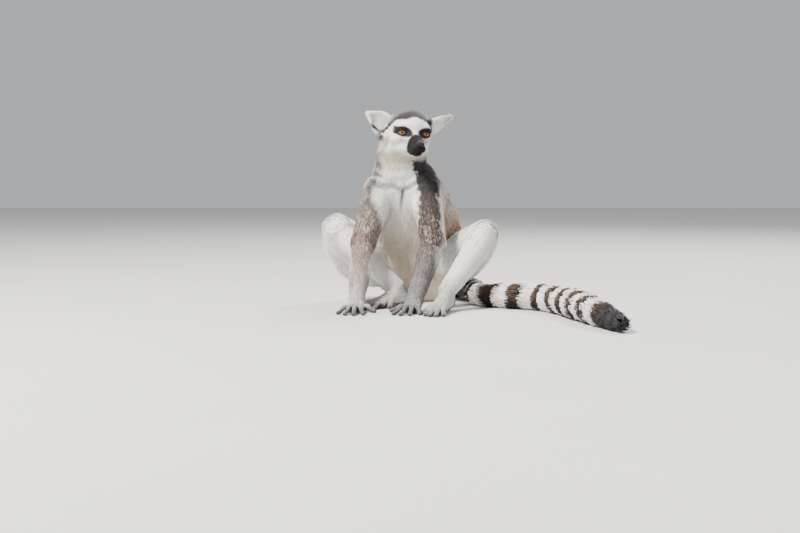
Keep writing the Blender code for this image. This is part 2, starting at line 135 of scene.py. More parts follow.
# Digits: where each starts on the palm or sole (across, forward), its turn and its length.
FINGERS = (
    ((-0.0110, 0.010), -52, 0.026),  # thumb
    ((-0.0080, 0.027), -15, 0.037),
    ((-0.0022, 0.029), -3, 0.043),
    ((0.0040, 0.028), 7, 0.041),
    ((0.0095, 0.024), 21, 0.033),
)
TOES = (
    ((-0.0090, 0.036), -30, 0.028),  # great toe
    ((-0.0068, 0.059), -9, 0.029),
    ((-0.0015, 0.061), -2, 0.034),
    ((0.0040, 0.060), 5, 0.035),
    ((0.0092, 0.057), 14, 0.031),
)
FINGER_RADIUS, TOE_RADIUS, THUMB_SWELL, DIGIT_TIP = 0.0038, 0.0042, 1.22, 0.74
HEEL = 0.010  # how far the heel is behind the ankle

FINE, COARSE = 0.0008, 0.0016  # cells of the fields that the skin is made from
BAND = 10  # cells each side of a surface in which its distance is known
FAR = 0.0135  # the distance written where no surface is near
BLOCK = 32  # coarse cells along a block's side when the skin's field is made finer


# ---------------------------------------------------------------- small geometry
def unit(v):
    v = np.asarray(v, float)
    return v / np.maximum(np.linalg.norm(v, axis=-1, keepdims=True), 1e-9)


def heading_vector(degrees):
    angle = math.radians(degrees)
    return np.array((math.sin(angle), -math.cos(angle), 0.0))


def left_of(degrees):
    angle = math.radians(degrees)
    return np.array((math.cos(angle), math.sin(angle), 0.0))


def between(a, b, share, shift=(0, 0, 0)):
    a, b = np.array(a, float), np.array(b, float)
    return a + (b - a) * share + np.array(shift, float)


def blend(low, high, x):
    """0 below low, 1 above high, smooth between."""
    t = np.clip((x - low) / (high - low), 0, 1)
    return t * t * (3 - 2 * t)


def hump(x, middle, width):
    """1 at the middle, and nearly 0 two widths away."""
    return np.exp(-(((x - middle) / width) ** 2))


def mix(a, b, share):
    share = np.asarray(share)[..., None]
    return np.asarray(a) * (1 - share) + np.asarray(b) * share


def curve(values, marks):
    """Values on a smooth curve through the given ones, whose marks are 0, 1, 2 and so on."""
    v = np.asarray(values, float)
    k = np.minimum(marks.astype(int), len(v) - 2)
    t = marks - k
    if v.ndim > 1:
        t = t[:, None]
    before, a, b, after = v[np.maximum(k - 1, 0)], v[k], v[k + 1], v[np.minimum(k + 2, len(v) - 1)]
    return (
        a * (2 * t**3 - 3 * t**2 + 1)
        + (b - before) * 0.5 * (t**3 - 2 * t**2 + t)
        + b * (3 * t**2 - 2 * t**3)
        + (after - a) * 0.5 * (t**3 - t**2)
    )


HEAD = np.array(
    Matrix.Translation(Vector(EYES_MIDDLE))
    @ Matrix.Rotation(math.radians(HEAD_YAW), 4, "Z")
    @ Matrix.Rotation(math.radians(HEAD_ROLL), 4, "Y")
    @ Matrix.Rotation(math.radians(HEAD_PITCH), 4, "X")
)
HEAD_TURN, HEAD_AT = HEAD[:3, :3], HEAD[:3, 3]


def to_head(points):
    return (np.asarray(points) - HEAD_AT) @ HEAD_TURN


def from_head(points):
    return np.asarray(points) @ HEAD_TURN.T + HEAD_AT


def waves(points, size, seed, count=7):
    """Smooth noise between about -1 and 1 whose bumps are about size across."""
    chance = np.random.default_rng(seed)
    total = np.zeros(len(points))
    for _ in range(count):
        way = unit(chance.normal(size=3)) * (math.pi / size) * chance.uniform(0.6, 1.5)
        total += np.sin(points @ way + chance.uniform(0, 6.28))
    return total / math.sqrt(count) * 0.75


class Tube:
    """A body part's line, from stations of centre, half-width, half-depth and coat depth."""

    def __init__(self, stations, side, steps=40, tip=0.0):
        marks = np.linspace(0, len(stations) - 1, steps + 1)
        self.centres, self.width, self.depth, self.coat = (curve(v, marks) for v in zip(*stations))
        if tip:
            way = unit(self.centres[-1] - self.centres[-2])
            extra = np.linspace(0.2, 1, 5)
            self.centres = np.vstack([self.centres, self.centres[-1] + way * tip * extra[:, None]])
            fade = np.sqrt(1 - (extra * 0.94) ** 2)
            self.width = np.append(self.width, self.width[-1] * fade)
            self.depth = np.append(self.depth, self.depth[-1] * fade)
            self.coat = np.append(self.coat, np.full(5, self.coat[-1]))
        self.way = unit(np.gradient(self.centres, axis=0))
        side = np.asarray(side, float)
        self.across = unit(side - (self.way @ side)[:, None] * self.way)
        self.over = np.cross(self.way, self.across)
        steps_long = np.linalg.norm(np.diff(self.centres, axis=0), axis=1)
        self.run = np.append(0, np.cumsum(steps_long))

    def locate(self, points):
        """Each point's nearest station, and its place from there: along, across and over."""
        best = np.full(len(points), 1e9)
        index = np.zeros(len(points), int)
        for k, centre in enumerate(self.centres):
            gap = ((points - centre) ** 2).sum(1)
            near = gap < best
            best[near], index[near] = gap[near], k
        off = points - self.centres[index]
        return index, *((off * way[index]).sum(1) for way in (self.way, self.across, self.over))

    def progress(self, points):
        """Each point's nearest station, its run along the line, and that as a share of it all."""
        index, along, _, _ = self.locate(points)
        run = self.run[index] + along
        return index, run, np.clip(run / self.run[-1], 0, 1)

    def closed(self, inset, bulges):
        """The closed outline's points and triangles, inset by that many of the coat's depths."""
        sides, rings, thinnest = 28, 4, 0.0015
        width = np.maximum(self.width - inset * self.coat, thinnest)
        depth = np.maximum(self.depth - inset * self.coat, thinnest)
        parts = [(self.centres, width, depth, self.across, self.over)]
        for end, bulge in ((0, bulges[0]), (-1, bulges[1])):
            if not bulge:
                continue
            outwards = self.way[end] * (1 if end else -1)
            angle = np.pi / 2 * np.arange(1, rings + 1) / (rings + 0.35)
            extra = (
                self.centres[end] + outwards * (bulge * depth[end] * np.sin(angle))[:, None],
                width[end] * np.cos(angle),
                depth[end] * np.cos(angle),
                np.repeat(self.across[end][None], rings, 0),
                np.repeat(self.over[end][None], rings, 0),
            )
            if end:
                parts.append(extra)
            else:
                parts.insert(0, tuple(e[::-1] for e in extra))
        centres, width, depth, across, over = (np.concatenate(p) for p in zip(*parts))
        angle = np.linspace(0, 2 * np.pi, sides, endpoint=False)
        points = (
            centres[:, None]
            + across[:, None] * (width[:, None] * np.cos(angle))[..., None]
            + over[:, None] * (depth[:, None] * np.sin(angle))[..., None]
        )
        return tube_faces(points)


def tube_faces(rings):
    """A closed mesh from rings of points, with a point in the middle of each end."""
    count, sides = rings.shape[:2]
    points = np.vstack([rings.reshape(-1, 3), rings[0].mean(0), rings[-1].mean(0)])
    i = np.arange(sides)
    j = (i + 1) % sides
    faces = []
    for k in range(count - 1):
        a, b = k * sides, (k + 1) * sides
        faces += [np.stack([a + i, a + j, b + j], 1), np.stack([a + i, b + j, b + i], 1)]
    first, last = count * sides, count * sides + 1
    faces += [np.stack([np.full(sides, first), j, i], 1)]
    top = (count - 1) * sides
    faces += [np.stack([np.full(sides, last), top + i, top + j], 1)]
    return points, np.vstack(faces)


# ---------------------------------------------------------------- distance fields
class Field:
    """Distances to a surface on even cells, negative inside. Cells are numbered from low."""

    def __init__(self, low, cell, values):
        self.low, self.cell, self.values = np.array(low), cell, values

    def empty(self):
        return Field(self.low, self.cell, np.full_like(self.values, FAR))

    def places(self, part=None):
        """X, Y and Z of the cells, ready to be broadcast."""
        part = part or tuple(slice(0, n) for n in self.values.shape)
        axes = ((np.arange(s.start, s.stop) + low) * self.cell for s, low in zip(part, self.low))
        return np.ix_(*(axis.astype(np.float32) for axis in axes))

    def part(self, low, high):
        """The slices of the cells between two corners."""
        a = np.floor(np.asarray(low) / self.cell).astype(int) - self.low
        b = np.ceil(np.asarray(high) / self.cell).astype(int) - self.low + 1
        a = np.clip(a, 0, self.values.shape)
        b = np.clip(b, 0, self.values.shape)
        return tuple(slice(int(i), int(j)) for i, j in zip(a, b))

    def join(self, part, distance, melt):
        here = self.values[part]
        self.values[part] = smooth_min(here, distance.astype(np.float32), melt)

    def add_mesh(self, points, triangles, melt):
        grid = openvdb.FloatGrid.createLevelSetFromPolygons(
            points.astype(np.float32),
            triangles=triangles.astype(np.uint32),
            transform=openvdb.createLinearTransform(self.cell),
            halfWidth=float(BAND),
        )
        margin = BAND * self.cell
        part = self.part(points.min(0) - margin, points.max(0) + margin)
        block = np.zeros(tuple(s.stop - s.start for s in part), np.float32)
        corner = tuple(int(s.start + low) for s, low in zip(part, self.low))
        grid.copyToArray(block, ijk=corner)
        self.join(part, block, melt)

    def add_chain(self, points, radii, melt):
        """Round cones along a line of points."""
        points = np.asarray(points, float)
        margin = max(radii) + BAND * self.cell
        part = self.part(points.min(0) - margin, points.max(0) + margin)
        x, y, z = self.places(part)
        best = None
        for (a, ra), (b, rb) in zip(zip(points, radii), zip(points[1:], radii[1:])):
            d = b - a
            t = ((x - a[0]) * d[0] + (y - a[1]) * d[1] + (z - a[2]) * d[2]) / (d @ d)
            t = np.clip(t, 0, 1)
            gap = np.sqrt(
                (x - a[0] - t * d[0]) ** 2 + (y - a[1] - t * d[1]) ** 2 + (z - a[2] - t * d[2]) ** 2
            ) - (ra + t * (rb - ra))
            best = gap if best is None else np.minimum(best, gap)
        self.join(part, best, melt)


def smooth_min(a, b, melt):
    melt = np.maximum(melt, 1e-7)
    h = np.maximum(melt - np.abs(a - b), 0) / melt
    return np.minimum(a, b) - h * h * melt / 4


def smooth_max(a, b, melt):
    return -smooth_min(-a, -b, melt)


def egg(x, y, z, centre, sizes):
    """Rough distance to an ellipsoid's surface."""
    px, py, pz = x - centre[0], y - centre[1], z - centre[2]
    k0 = np.sqrt((px / sizes[0]) ** 2 + (py / sizes[1]) ** 2 + (pz / sizes[2]) ** 2)
    k1 = np.sqrt((px / sizes[0] ** 2) ** 2 + (py / sizes[1] ** 2) ** 2 + (pz / sizes[2] ** 2) ** 2)
    return k0 * (k0 - 1) / np.maximum(k1, 1e-6)


# ---------------------------------------------------------------- anatomy
def arm_tubes(key):
    shoulder, elbow, wrist = SHOULDER[key], ELBOW[key], WRIST[key]
    side = left_of(BODY_HEADING)
    upper = Tube(
        (
            (shoulder, 0.0245, 0.0280, 0.0080 if key == "R" else 0.0058),
            (between(shoulder, elbow, 0.45), 0.0225, 0.0270, 0.0055),
            (between(shoulder, elbow, 0.80), 0.0205, 0.0245, 0.0052),
            (elbow, 0.0195, 0.0215, 0.0050),
        ),
        side,
    )
    fore = Tube(
        (
            (elbow, 0.0185, 0.0190, 0.0046),
            (between(elbow, wrist, 0.30), 0.0188, 0.0188, 0.0042),
            (between(elbow, wrist, 0.65), 0.0160, 0.0160, 0.0034),
            (wrist, 0.0120, 0.0115, 0.0018),
        ),
        side,
    )
    return upper, fore


def leg_tubes(key):
    hip, knee, ankle = (np.array(j[key]) for j in (HIP, KNEE, ANKLE))
    outer = unit(np.cross(ankle - knee, hip - knee)) * SIGN[key]
    loose = THIGH_LOOSE[key]
    thigh = Tube(
        (
            (hip + outer * 0.004, 0.0400, 0.0380, 0.008),
            (
                between(hip, knee, 0.40, outer * loose),
                0.0300 + loose,
                0.0370,
                0.0075 + loose * 0.25,
            ),
            (
                between(hip, knee, 0.72, outer * loose * 0.8),
                0.0250 + loose * 0.8,
                0.0310,
                0.0065 + loose * 0.25,
            ),
            (knee + outer * loose * 0.18, 0.0220 + loose * 0.18, 0.0235, 0.0048),
        ),
        outer,
    )
    shank = Tube(
        (
            (between(knee, ankle, 0.02), 0.0205, 0.0205, 0.0045),
            (between(knee, ankle, 0.30, outer * 0.003), 0.0200, 0.0210, 0.0045),
            (between(knee, ankle, 0.70, outer * 0.002), 0.0160, 0.0170, 0.0034),
            (ankle, 0.0130, 0.0130, 0.0018),
        ),
        outer,
    )
    return thigh, shank


def hand_line(key):
    wrist, facing = np.array(WRIST[key]), heading_vector(PAW_HEADING["hand"][key])
    floor_point = wrist * (1, 1, 0)
    return (
        (wrist + (0, 0, -0.002), 0.0112, 0.0100, 0.0012),
        (floor_point + facing * 0.016 + (0, 0, 0.0085), 0.0140, 0.0085, 0.0010),
        (floor_point + facing * 0.031 + (0, 0, 0.0068), 0.0138, 0.0066, 0.0006),
    )


def foot_line(key):
    facing = heading_vector(PAW_HEADING["foot"][key])
    heel = np.array(ANKLE[key]) * (1, 1, 0) - facing * HEEL
    return (
        (heel + (0, 0, 0.0135), 0.0115, 0.0140, 0.0012),
        (heel + facing * 0.018 + (0, 0, 0.0140), 0.0125, 0.0140, 0.0012),
        (heel + facing * 0.042 + (0, 0, 0.0100), 0.0130, 0.0100, 0.0010),
        (heel + facing * 0.062 + (0, 0, 0.0075), 0.0138, 0.0075, 0.0006),
    )


def digit_line(root, heading, length, radius, lift, steps=13):
    """Points and radii along a finger or toe, with knuckles that swell."""
    way = heading_vector(heading)
    tip_radius = radius * DIGIT_TIP
    rise = (lift, lift + 0.10 * length, 0.5 * (lift + tip_radius), tip_radius - 0.0004)
    marks = np.linspace(0, 3, steps)
    share = curve((0.0, 0.36, 0.72, 1.0), marks)
    height = curve(rise, marks)
    points = root + way * ((length - tip_radius) * share)[:, None]
    points[:, 2] = height
    radii = radius + (tip_radius - radius) * share
    swell = 0.09 * hump(share, 0.40, 0.10) + 0.06 * hump(share, 0.74, 0.08)
    return points, radii * (0.95 + swell + 0.10 * hump(share, 0.97, 0.10))


def digits_of(key, kind):
    """Each digit's points, radii and heading."""
    sign, heading = SIGN[key], PAW_HEADING[kind][key]
    root = np.array(PAW_JOINT[kind][key]) * (1, 1, 0)
    digits, radius = FINGERS, FINGER_RADIUS
    if kind == "foot":
        digits, radius = TOES, TOE_RADIUS
        root = root - heading_vector(heading) * HEEL
    facing, left = heading_vector(heading), left_of(heading)
    made = []
    for number, ((across, forward), turn, length) in enumerate(digits):
        start = root + left * across * sign + facing * forward
        size = radius * (THUMB_SWELL if number == 0 else 1)
        points, radii = digit_line(start, heading + sign * turn, length, size, 1.45 * radius)
        made.append((points, radii, heading + sign * turn))
    return made


def tail_tube():
    stations = [(point, radius, radius, TAIL_COAT) for point, radius in zip(TAIL_LINE, TAIL_RADII)]
    return Tube(stations, (0, 0, 1), steps=110, tip=TAIL_TIP)


def ear_shape(key, along, across):
    """Points of the ear's middle surface in the head's frame, for shares along it and across it."""
    sign = SIGN[key]
    bare = np.clip(1 - np.clip(along, 0, 1) ** 2, 0, 1)
    half = EAR_HALF_WIDTH * np.maximum(bare**0.8 * (0.8 + 0.45 * along), 0.06)
    middle = -EAR_TIP_SHIFT * along**2
    cup = EAR_CUP * (across**2 - 0.6) * (1 - 0.55 * along)
    flat = np.stack([sign * (middle + half * across), -cup, EAR_LENGTH * along], -1)
    place = (
        Matrix.Translation(Vector(EAR_BASE[key]))
        @ Matrix.Rotation(math.radians(-EAR_SWEEP), 4, "X")
        @ Matrix.Rotation(math.radians(sign * EAR_SPREAD[key]), 4, "Y")
        @ Matrix.Rotation(math.radians(sign * EAR_TURN[key]), 4, "Z")
    )
    place = np.array(place)
    return flat @ place[:3, :3].T + place[:3, 3], place[:3, :3]


EAR_AXES = {key: ear_shape(key, np.zeros(1), np.zeros(1))[1] for key in "LR"}


def ear_mesh(key, rows=18, columns=14):
    """The ear as a closed, cupped shell that starts inside the head."""
    along, across = np.meshgrid(
        np.linspace(-0.22, 1, rows + 1), np.linspace(-1, 1, columns + 1), indexing="ij"
    )
    middle, _ = ear_shape(key, along, across)
    normal = unit(np.cross(np.gradient(middle, axis=0), np.gradient(middle, axis=1)))
    thin = 0.5 * EAR_THICKNESS * (1 + 0.9 * (1 - np.clip(along * 2.2, 0, 1)))[..., None]
    front, back = middle + normal * thin, middle - normal * thin
    points, faces = tube_faces(np.concatenate([front, back[:, ::-1]], axis=1))
    return from_head(points), faces


EYE_AT = {key: np.array((SIGN[key] * EYE_OFFSET, EYE_DEPTH, 0)) for key in "LR"}


def eye_frame(key):
    """Axes of an eye in the head's frame: across (outwards), up, and the way it looks."""
    yaw = math.radians(EYE_OUTWARD) * SIGN[key]
    look = unit(np.array((math.sin(yaw), -math.cos(yaw), -0.06)))
    up = unit(np.array((0, 0, 1.0)) - look[2] * look)
    return np.cross(look, up) * SIGN[key], up, look


def lids(key, x, y, z):
    """Of places in the head's frame, seen from an eye: how far, how far ahead, the share across
    the lids' opening, and how many degrees inside the upper and the lower lid's edge."""
    off = [v - c for v, c in zip((x, y, z), EYE_AT[key])]
    far = np.sqrt(off[0] ** 2 + off[1] ** 2 + off[2] ** 2)
    side, high, ahead = (
        off[0] * way[0] + off[1] * way[1] + off[2] * way[2] for way in eye_frame(key)
    )
    u = np.degrees(np.arctan2(side, ahead)) / LID_HALF_WIDTH
    arch = np.maximum(1 - np.abs(u) ** 2.2, -0.5)
    tilt = np.degrees(np.arctan2(high, ahead)) - LID_TILT * u
    return far, ahead, u, LID_UPPER * arch - tilt, LID_LOWER * arch + tilt


def lip_height(y):
    """Height of the line between the lips, in the head's frame."""
    return -0.0272 - 0.10 * (y + 0.038)


def add_head(field):
    """Melts the head's masses into the field, with lids, mouth and ears."""
    x, y, z = field.places()
    p = [
        HEAD_TURN[0, i] * (x - HEAD_AT[0])
        + HEAD_TURN[1, i] * (y - HEAD_AT[1])
        + HEAD_TURN[2, i] * (z - HEAD_AT[2])
        for i in range(3)
    ]
    h = [np.ascontiguousarray(v, dtype=np.float32) for v in np.broadcast_arrays(*p)]
    hx, hy, hz = h
    snout = field.empty()
    points, faces = Tube(MUZZLE, (1, 0, 0)).closed(0, (0.2, 0.55))
    snout.add_mesh(from_head(points), faces, 0)
    skull = smooth_min(egg(*h, *HEAD_MASSES[0]), egg(*h, *HEAD_MASSES[1]), 0.008)
    skull = smooth_min(skull, snout.values, 0.0075)
    for sign in (-1, 1):
        for (out, back, high), sizes, melt in SIDE_MASSES:
            skull = smooth_min(skull, egg(*h, (sign * out, back, high), sizes), melt)
    skull = smooth_min(skull, egg(*h, *THROAT), 0.008)
    # the slit between the lips runs back and down round the muzzle
    lips = lip_height(hy)
    slit = np.maximum(np.abs(hz - lips) - 0.00045, -(skull + 0.0017 * blend(-0.006, -0.018, hy)))
    slit = np.maximum(slit, hy + 0.006)
    skull = smooth_max(skull, -slit, 0.0008)
    under = np.maximum(hz - lips + 0.0002, skull + 0.0012)  # the lower jaw is a little narrower
    shrink = blend(0.0, 0.0040, lips - hz) * blend(-0.004, -0.016, hy) * 0.0009
    skull = np.where(under < 0.01, skull + shrink, skull)
    groove = np.maximum(np.abs(hx) - 0.0004, -(skull + 0.0011))
    groove = np.maximum(groove, np.maximum(hy + 0.034, np.maximum(lips - hz, hz + 0.0165)))
    skull = smooth_max(skull, -groove, 0.0008)
    for key in "LR":
        far, ahead, u, upper, lower = lids(key, *h)
        skull = smooth_min(skull, far - LID_RADIUS, 0.0035)
        opening = np.minimum(upper, lower) * (EYE_RADIUS * math.pi / 180)
        opening = np.where(ahead > 0, opening, -FAR)
        hole = np.minimum(opening, np.minimum(far - 0.0074, 0.0125 - far))
        crease = np.abs(upper + LID_CREASE) * (LID_RADIUS * math.pi / 180) - 0.0004
        crease = np.maximum(crease, np.abs(far - LID_RADIUS) - 0.0016)
        crease = np.maximum(crease, np.where((ahead > 0) & (np.abs(u) < 0.95), -1.0, FAR))
        skull = smooth_max(skull, -crease, 0.0010)
        skull = smooth_max(skull, hole, 0.0007)
    for key in "RL":
        out, back, high = EAR_BASE[key]
        root = (out - SIGN[key] * 0.0035, back + 0.003, high - 0.003)
        skull = smooth_min(skull, egg(*h, root, (0.0085, 0.0115, 0.0130)), 0.006)
    melt = 0.010 + 0.012 * blend(0.004, 0.022, hy)
    field.values = smooth_min(field.values, skull, melt).astype(np.float32)
    for key in "LR":
        points, faces = ear_mesh(key)
        field.add_mesh(points, faces, 0.003)


def body_field():
    """The body without its head and paws."""
    low = np.floor(np.array((-0.172, -0.475, -0.022)) / COARSE).astype(int)
    size = np.ceil(np.array((0.278, 0.090, 0.312)) / COARSE).astype(int) - low + 1
    field = Field(low, COARSE, np.full(size, FAR, np.float32))
    for tube, bulges, melt in TORSO:
        field.add_mesh(*tube.closed(1, bulges), melt)
    for key in "LR":
        field.add_mesh(*ARMS[key][0].closed(1, (0.7, 0.8)), 0.0190)
        field.add_mesh(*LEGS[key][0].closed(1, (0.8, 0.8)), 0.009)
    field.add_chain(TAIL.centres, np.maximum(TAIL.width - TAIL.coat, 0.0022), 0.006)
    for key in "LR":
        for limbs, melt in ((ARMS, 0.0035), (LEGS, 0.0040)):
            field.add_mesh(*limbs[key][1].closed(1, (0.8, 0.6)), melt)
    return field


def finer(values):
    """Twice as many cells each way, by straight mixing."""
    for axis in range(3):
        v = np.moveaxis(values, axis, 0)
        made = np.empty((2 * len(v) - 1, *v.shape[1:]), np.float32)
        made[::2] = v
        made[1::2] = 0.5 * (v[1:] + v[:-1])
        values = np.moveaxis(made, 0, axis)
    return values


def fine_block(coarse, part):
    """A part of the coarse field as a fine one."""
    low = [2 * (s.start + o) for s, o in zip(part, coarse.low)]
    return Field(low, FINE, finer(coarse.values[part]))


def skin_surface():
    """Points and quads of the whole skin."""
    coarse = body_field()
    limit = 3.2 * FINE
    grid = openvdb.FloatGrid(limit)
    grid.transform = openvdb.createLinearTransform(FINE)

    def write(block):
        values = np.ascontiguousarray(np.clip(block.values, -limit, limit))
        grid.copyFromArray(values, ijk=tuple(int(v) for v in block.low), tolerance=0.0)

    shape = coarse.values.shape
    for first in itertools.product(*(range(0, n - 1, BLOCK) for n in shape)):
        part = tuple(slice(a, min(a + BLOCK + 1, n)) for a, n in zip(first, shape))
        values = coarse.values[part]
        if values.max() < -limit:
            low = tuple(int(2 * (s.start + o)) for s, o in zip(part, coarse.low))
            high = tuple(int(a + 2 * (s.stop - s.start - 1)) for a, s in zip(low, part))
            grid.fill(low, high, -limit, False)
        elif values.min() <= limit:
            write(fine_block(coarse, part))
    paws = fine_block(coarse, coarse.part((-0.150, -0.290, -0.020), (0.085, -0.070, 0.055)))
    for key, kind in itertools.product("LR", ("hand", "foot")):
        paw = paws.empty()
        paw.add_mesh(*TUBES[f"{kind}_{key}"].closed(1, (0.7, 0.6)), 0)
        for points, radii, _ in digits_of(key, kind):
            paw.add_chain(points, radii, 0.0022)
        melt = 0.005
        if kind == "foot":  # the foot melts into the leg only near the ankle
            x, y, z = (a - b for a, b in zip(paws.places(), ANKLE[key]))
            melt = 0.0008 + 0.0075 * blend(0.032, 0.014, np.sqrt(x**2 + y**2 + z**2))
        paws.values = smooth_min(paws.values, paw.values, melt).astype(np.float32)
    write(paws)
    low, high = HEAD_AT + np.array(((-0.088, -0.062, -0.058), (0.090, 0.085, 0.047)))
    head = fine_block(coarse, coarse.part(low, high))
    add_head(head)
    write(head)
    points, quads = grid.convertToQuads(0.0)
    return points.astype(float), quads.astype(int)


TORSO = (
    (Tube(TRUNK, left_of(BODY_HEADING)), (0.80, 0.5), 0),
    (Tube(NECK, left_of(BODY_HEADING)), (0.3, 0.85), 0.012),
)
ARMS = {key: arm_tubes(key) for key in "LR"}
LEGS = {key: leg_tubes(key) for key in "LR"}
TAIL = tail_tube()


# ---------------------------------------------------------------- meshes and materials
def add_object(name, data):
    made = bpy.data.objects.new(name, data)
    bpy.context.scene.collection.objects.link(made)
    return made


def raw_mesh(name, points, corners, starts):
    """A mesh from its points, the faces' corners, and where each face starts among them."""
    mesh = bpy.data.meshes.new(name)
    for items, number, fact, values, kind in (
        (mesh.vertices, len(points), "co", points, np.float32),
        (mesh.loops, len(corners), "vertex_index", corners, np.int32),
        (mesh.polygons, len(starts), "loop_start", starts, np.int32),
    ):
        items.add(number)
        items.foreach_set(fact, np.ascontiguousarray(values, kind).ravel())
    mesh.update(calc_edges=True)
    return mesh


def new_piece(name, points, faces, colours=None, uv=None, normals=None):
    """A smooth piece from arrays. faces are the faces' corners and their starts."""
    mesh = raw_mesh(name, points, *faces)
    mesh.shade_smooth()
    if colours is not None:
        paint = mesh.attributes.new("Coat", "FLOAT_COLOR", "POINT")
        flat = np.ones((len(points), 4), np.float32)
        flat[:, :3] = np.clip(colours, 0.003, 0.95)
        paint.data.foreach_set("color", flat.ravel())
    if uv is not None:
        layer = mesh.uv_layers.new(name="OFBake")
        layer.data.foreach_set("uv", np.ascontiguousarray(uv, np.float32).ravel())
    if normals is not None:
        given = mesh.attributes.new("custom_normal", "FLOAT_VECTOR", "CORNER")
        given.data.foreach_set("vector", np.ascontiguousarray(normals, np.float32).ravel())
    piece = add_object(name, mesh)
    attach(piece, "root")
    return piece


def from_bmesh(name, working):
    """A smooth piece from a bmesh. Its faces are sorted, as a new ball's come in any order."""
    mesh = bpy.data.meshes.new(name)
    bmesh.ops.recalc_face_normals(working, faces=working.faces)
    working.verts.index_update()
    most = float(len(working.verts))
    working.faces.sort(key=lambda f: sum(v.index * most**k for k, v in enumerate(f.verts)))
    working.to_mesh(mesh)
    working.free()
    mesh.shade_smooth()
    piece = add_object(name, mesh)
    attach(piece, "root")
    return piece


def even_faces(faces):
    """Corner indices and starts of faces that all have as many corners."""
    faces = np.asarray(faces)
    return faces.ravel(), np.arange(0, faces.size, faces.shape[1])


class Shader:
    """A short way to write a material's nodes."""

    def __init__(self, name):
        self.material = bpy.data.materials.new(name)
        self.material.use_nodes = True
        self.nodes = self.material.node_tree.nodes
        self.links = self.material.node_tree.links
        self.surface = self.nodes["Principled BSDF"]
        self.place = self.nodes.new("ShaderNodeTexCoord").outputs["Object"]

    def set(self, **values):
        for name, value in values.items():
            self.surface.inputs[name.replace("_", " ")].default_value = value

    def link(self, output, name):
        self.links.new(output, self.surface.inputs[name])

    def node(self, kind, **values):
        """A new node with values of its sockets: numbers, or other nodes' outputs."""
        node = self.nodes.new("ShaderNode" + kind)
        for name, value in values.items():
            socket = node.inputs[name.replace("_", " ")]
            if isinstance(value, bpy.types.NodeSocket):
                self.links.new(value, socket)
            else:
                socket.default_value = value
        return node

    def markings(self):
        node = self.node("VertexColor")
        node.layer_name = "Coat"
        return node.outputs["Color"]

    def noise(self, scale, detail):
        """A noise that runs from 0 to 1."""
        node = self.node("TexNoise", Vector=self.place, Scale=scale, Detail=detail, Roughness=0.55)
        return node.outputs["Fac"]

    def cells(self, scale):
        return self.node("TexVoronoi", Vector=self.place, Scale=scale).outputs["Distance"]

    def spread(self, value, low=0.0, high=1.0):
        """The middle of a noise, spread from low to high."""
        return self.node(
            "MapRange", Value=value, From_Min=0.3, From_Max=0.7, To_Min=low, To_Max=high
        ).outputs["Result"]

    def mixed(self, share, a, b, kind="MIX"):
        node = self.nodes.new("ShaderNodeMix")
        node.data_type = "RGBA"
        node.blend_type = kind
        for socket, value in ((0, share), (6, a), (7, b)):
            if isinstance(value, (int, float)):
                node.inputs[socket].default_value = value
            elif isinstance(value, tuple):
                node.inputs[socket].default_value = (*value, 1)
            else:
                self.links.new(value, node.inputs[socket])
        return node.outputs[2]

    def two_tone(self, scale, detail, dark, pale):
        """A colour that drifts between two by a noise."""
        shade = self.spread(self.noise(scale, detail))
        self.link(self.mixed(shade, dark, pale), "Base Color")

    def marked(self, scale, amount):
        """The markings, darker and lighter by a fine noise."""
        grain = self.spread(self.noise(scale, 4.0), 1 - amount, 1 + amount)
        grey = self.node("CombineColor", Red=grain, Green=grain, Blue=grain).outputs["Color"]
        self.link(self.mixed(1.0, self.markings(), grey, "MULTIPLY"), "Base Color")

    def bump(self, height, strength, distance):
        node = self.node("Bump", Strength=strength, Distance=distance, Height=height)
        self.link(node.outputs["Normal"], "Normal")


def coat_material():
    shader = Shader("coat hairs")
    shader.set(Roughness=0.66, Sheen_Weight=0.05, Sheen_Roughness=0.45, Specular_IOR_Level=0.18)
    shader.marked(900, 0.10)
    return shader.material


def skin_material():
    shader = Shader("short coat and skin")
    shader.set(Roughness=0.74, Sheen_Weight=0.04, Sheen_Roughness=0.5, Specular_IOR_Level=0.2)
    shader.marked(700, 0.14)
    shader.bump(shader.noise(1500, 5.0), 0.55, 0.0006)
    return shader.material


# ---------------------------------------------------------------- where each part of the skin is
REGIONS = (
    "trunk neck upper_L upper_R fore_L fore_R thigh_L thigh_R shank_L shank_R tail head "
    "ear_L ear_R hand_L hand_R foot_L foot_R"
).split()
NUMBER = {name: k for k, name in enumerate(REGIONS)}
TUBES = {"trunk": TORSO[0][0], "neck": TORSO[1][0], "tail": TAIL}
for key in "LR":
    TUBES[f"upper_{key}"], TUBES[f"fore_{key}"] = ARMS[key]
    TUBES[f"thigh_{key}"], TUBES[f"shank_{key}"] = LEGS[key]
    TUBES[f"hand_{key}"] = Tube(hand_line(key), left_of(PAW_HEADING["hand"][key]))
    TUBES[f"foot_{key}"] = Tube(foot_line(key), left_of(PAW_HEADING["foot"][key]))
FACING, LEFT_SIDE = heading_vector(BODY_HEADING), left_of(BODY_HEADING)


def ear_place(key, heads):
    """Places on an ear: the share along it, the share across it, and the height over it."""
    own = (heads - np.array(EAR_BASE[key])) @ EAR_AXES[key]
    along = own[:, 2] / EAR_LENGTH
    across = (own[:, 0] * SIGN[key] + EAR_TIP_SHIFT * along**2) / EAR_HALF_WIDTH
    return along, across, own[:, 1]


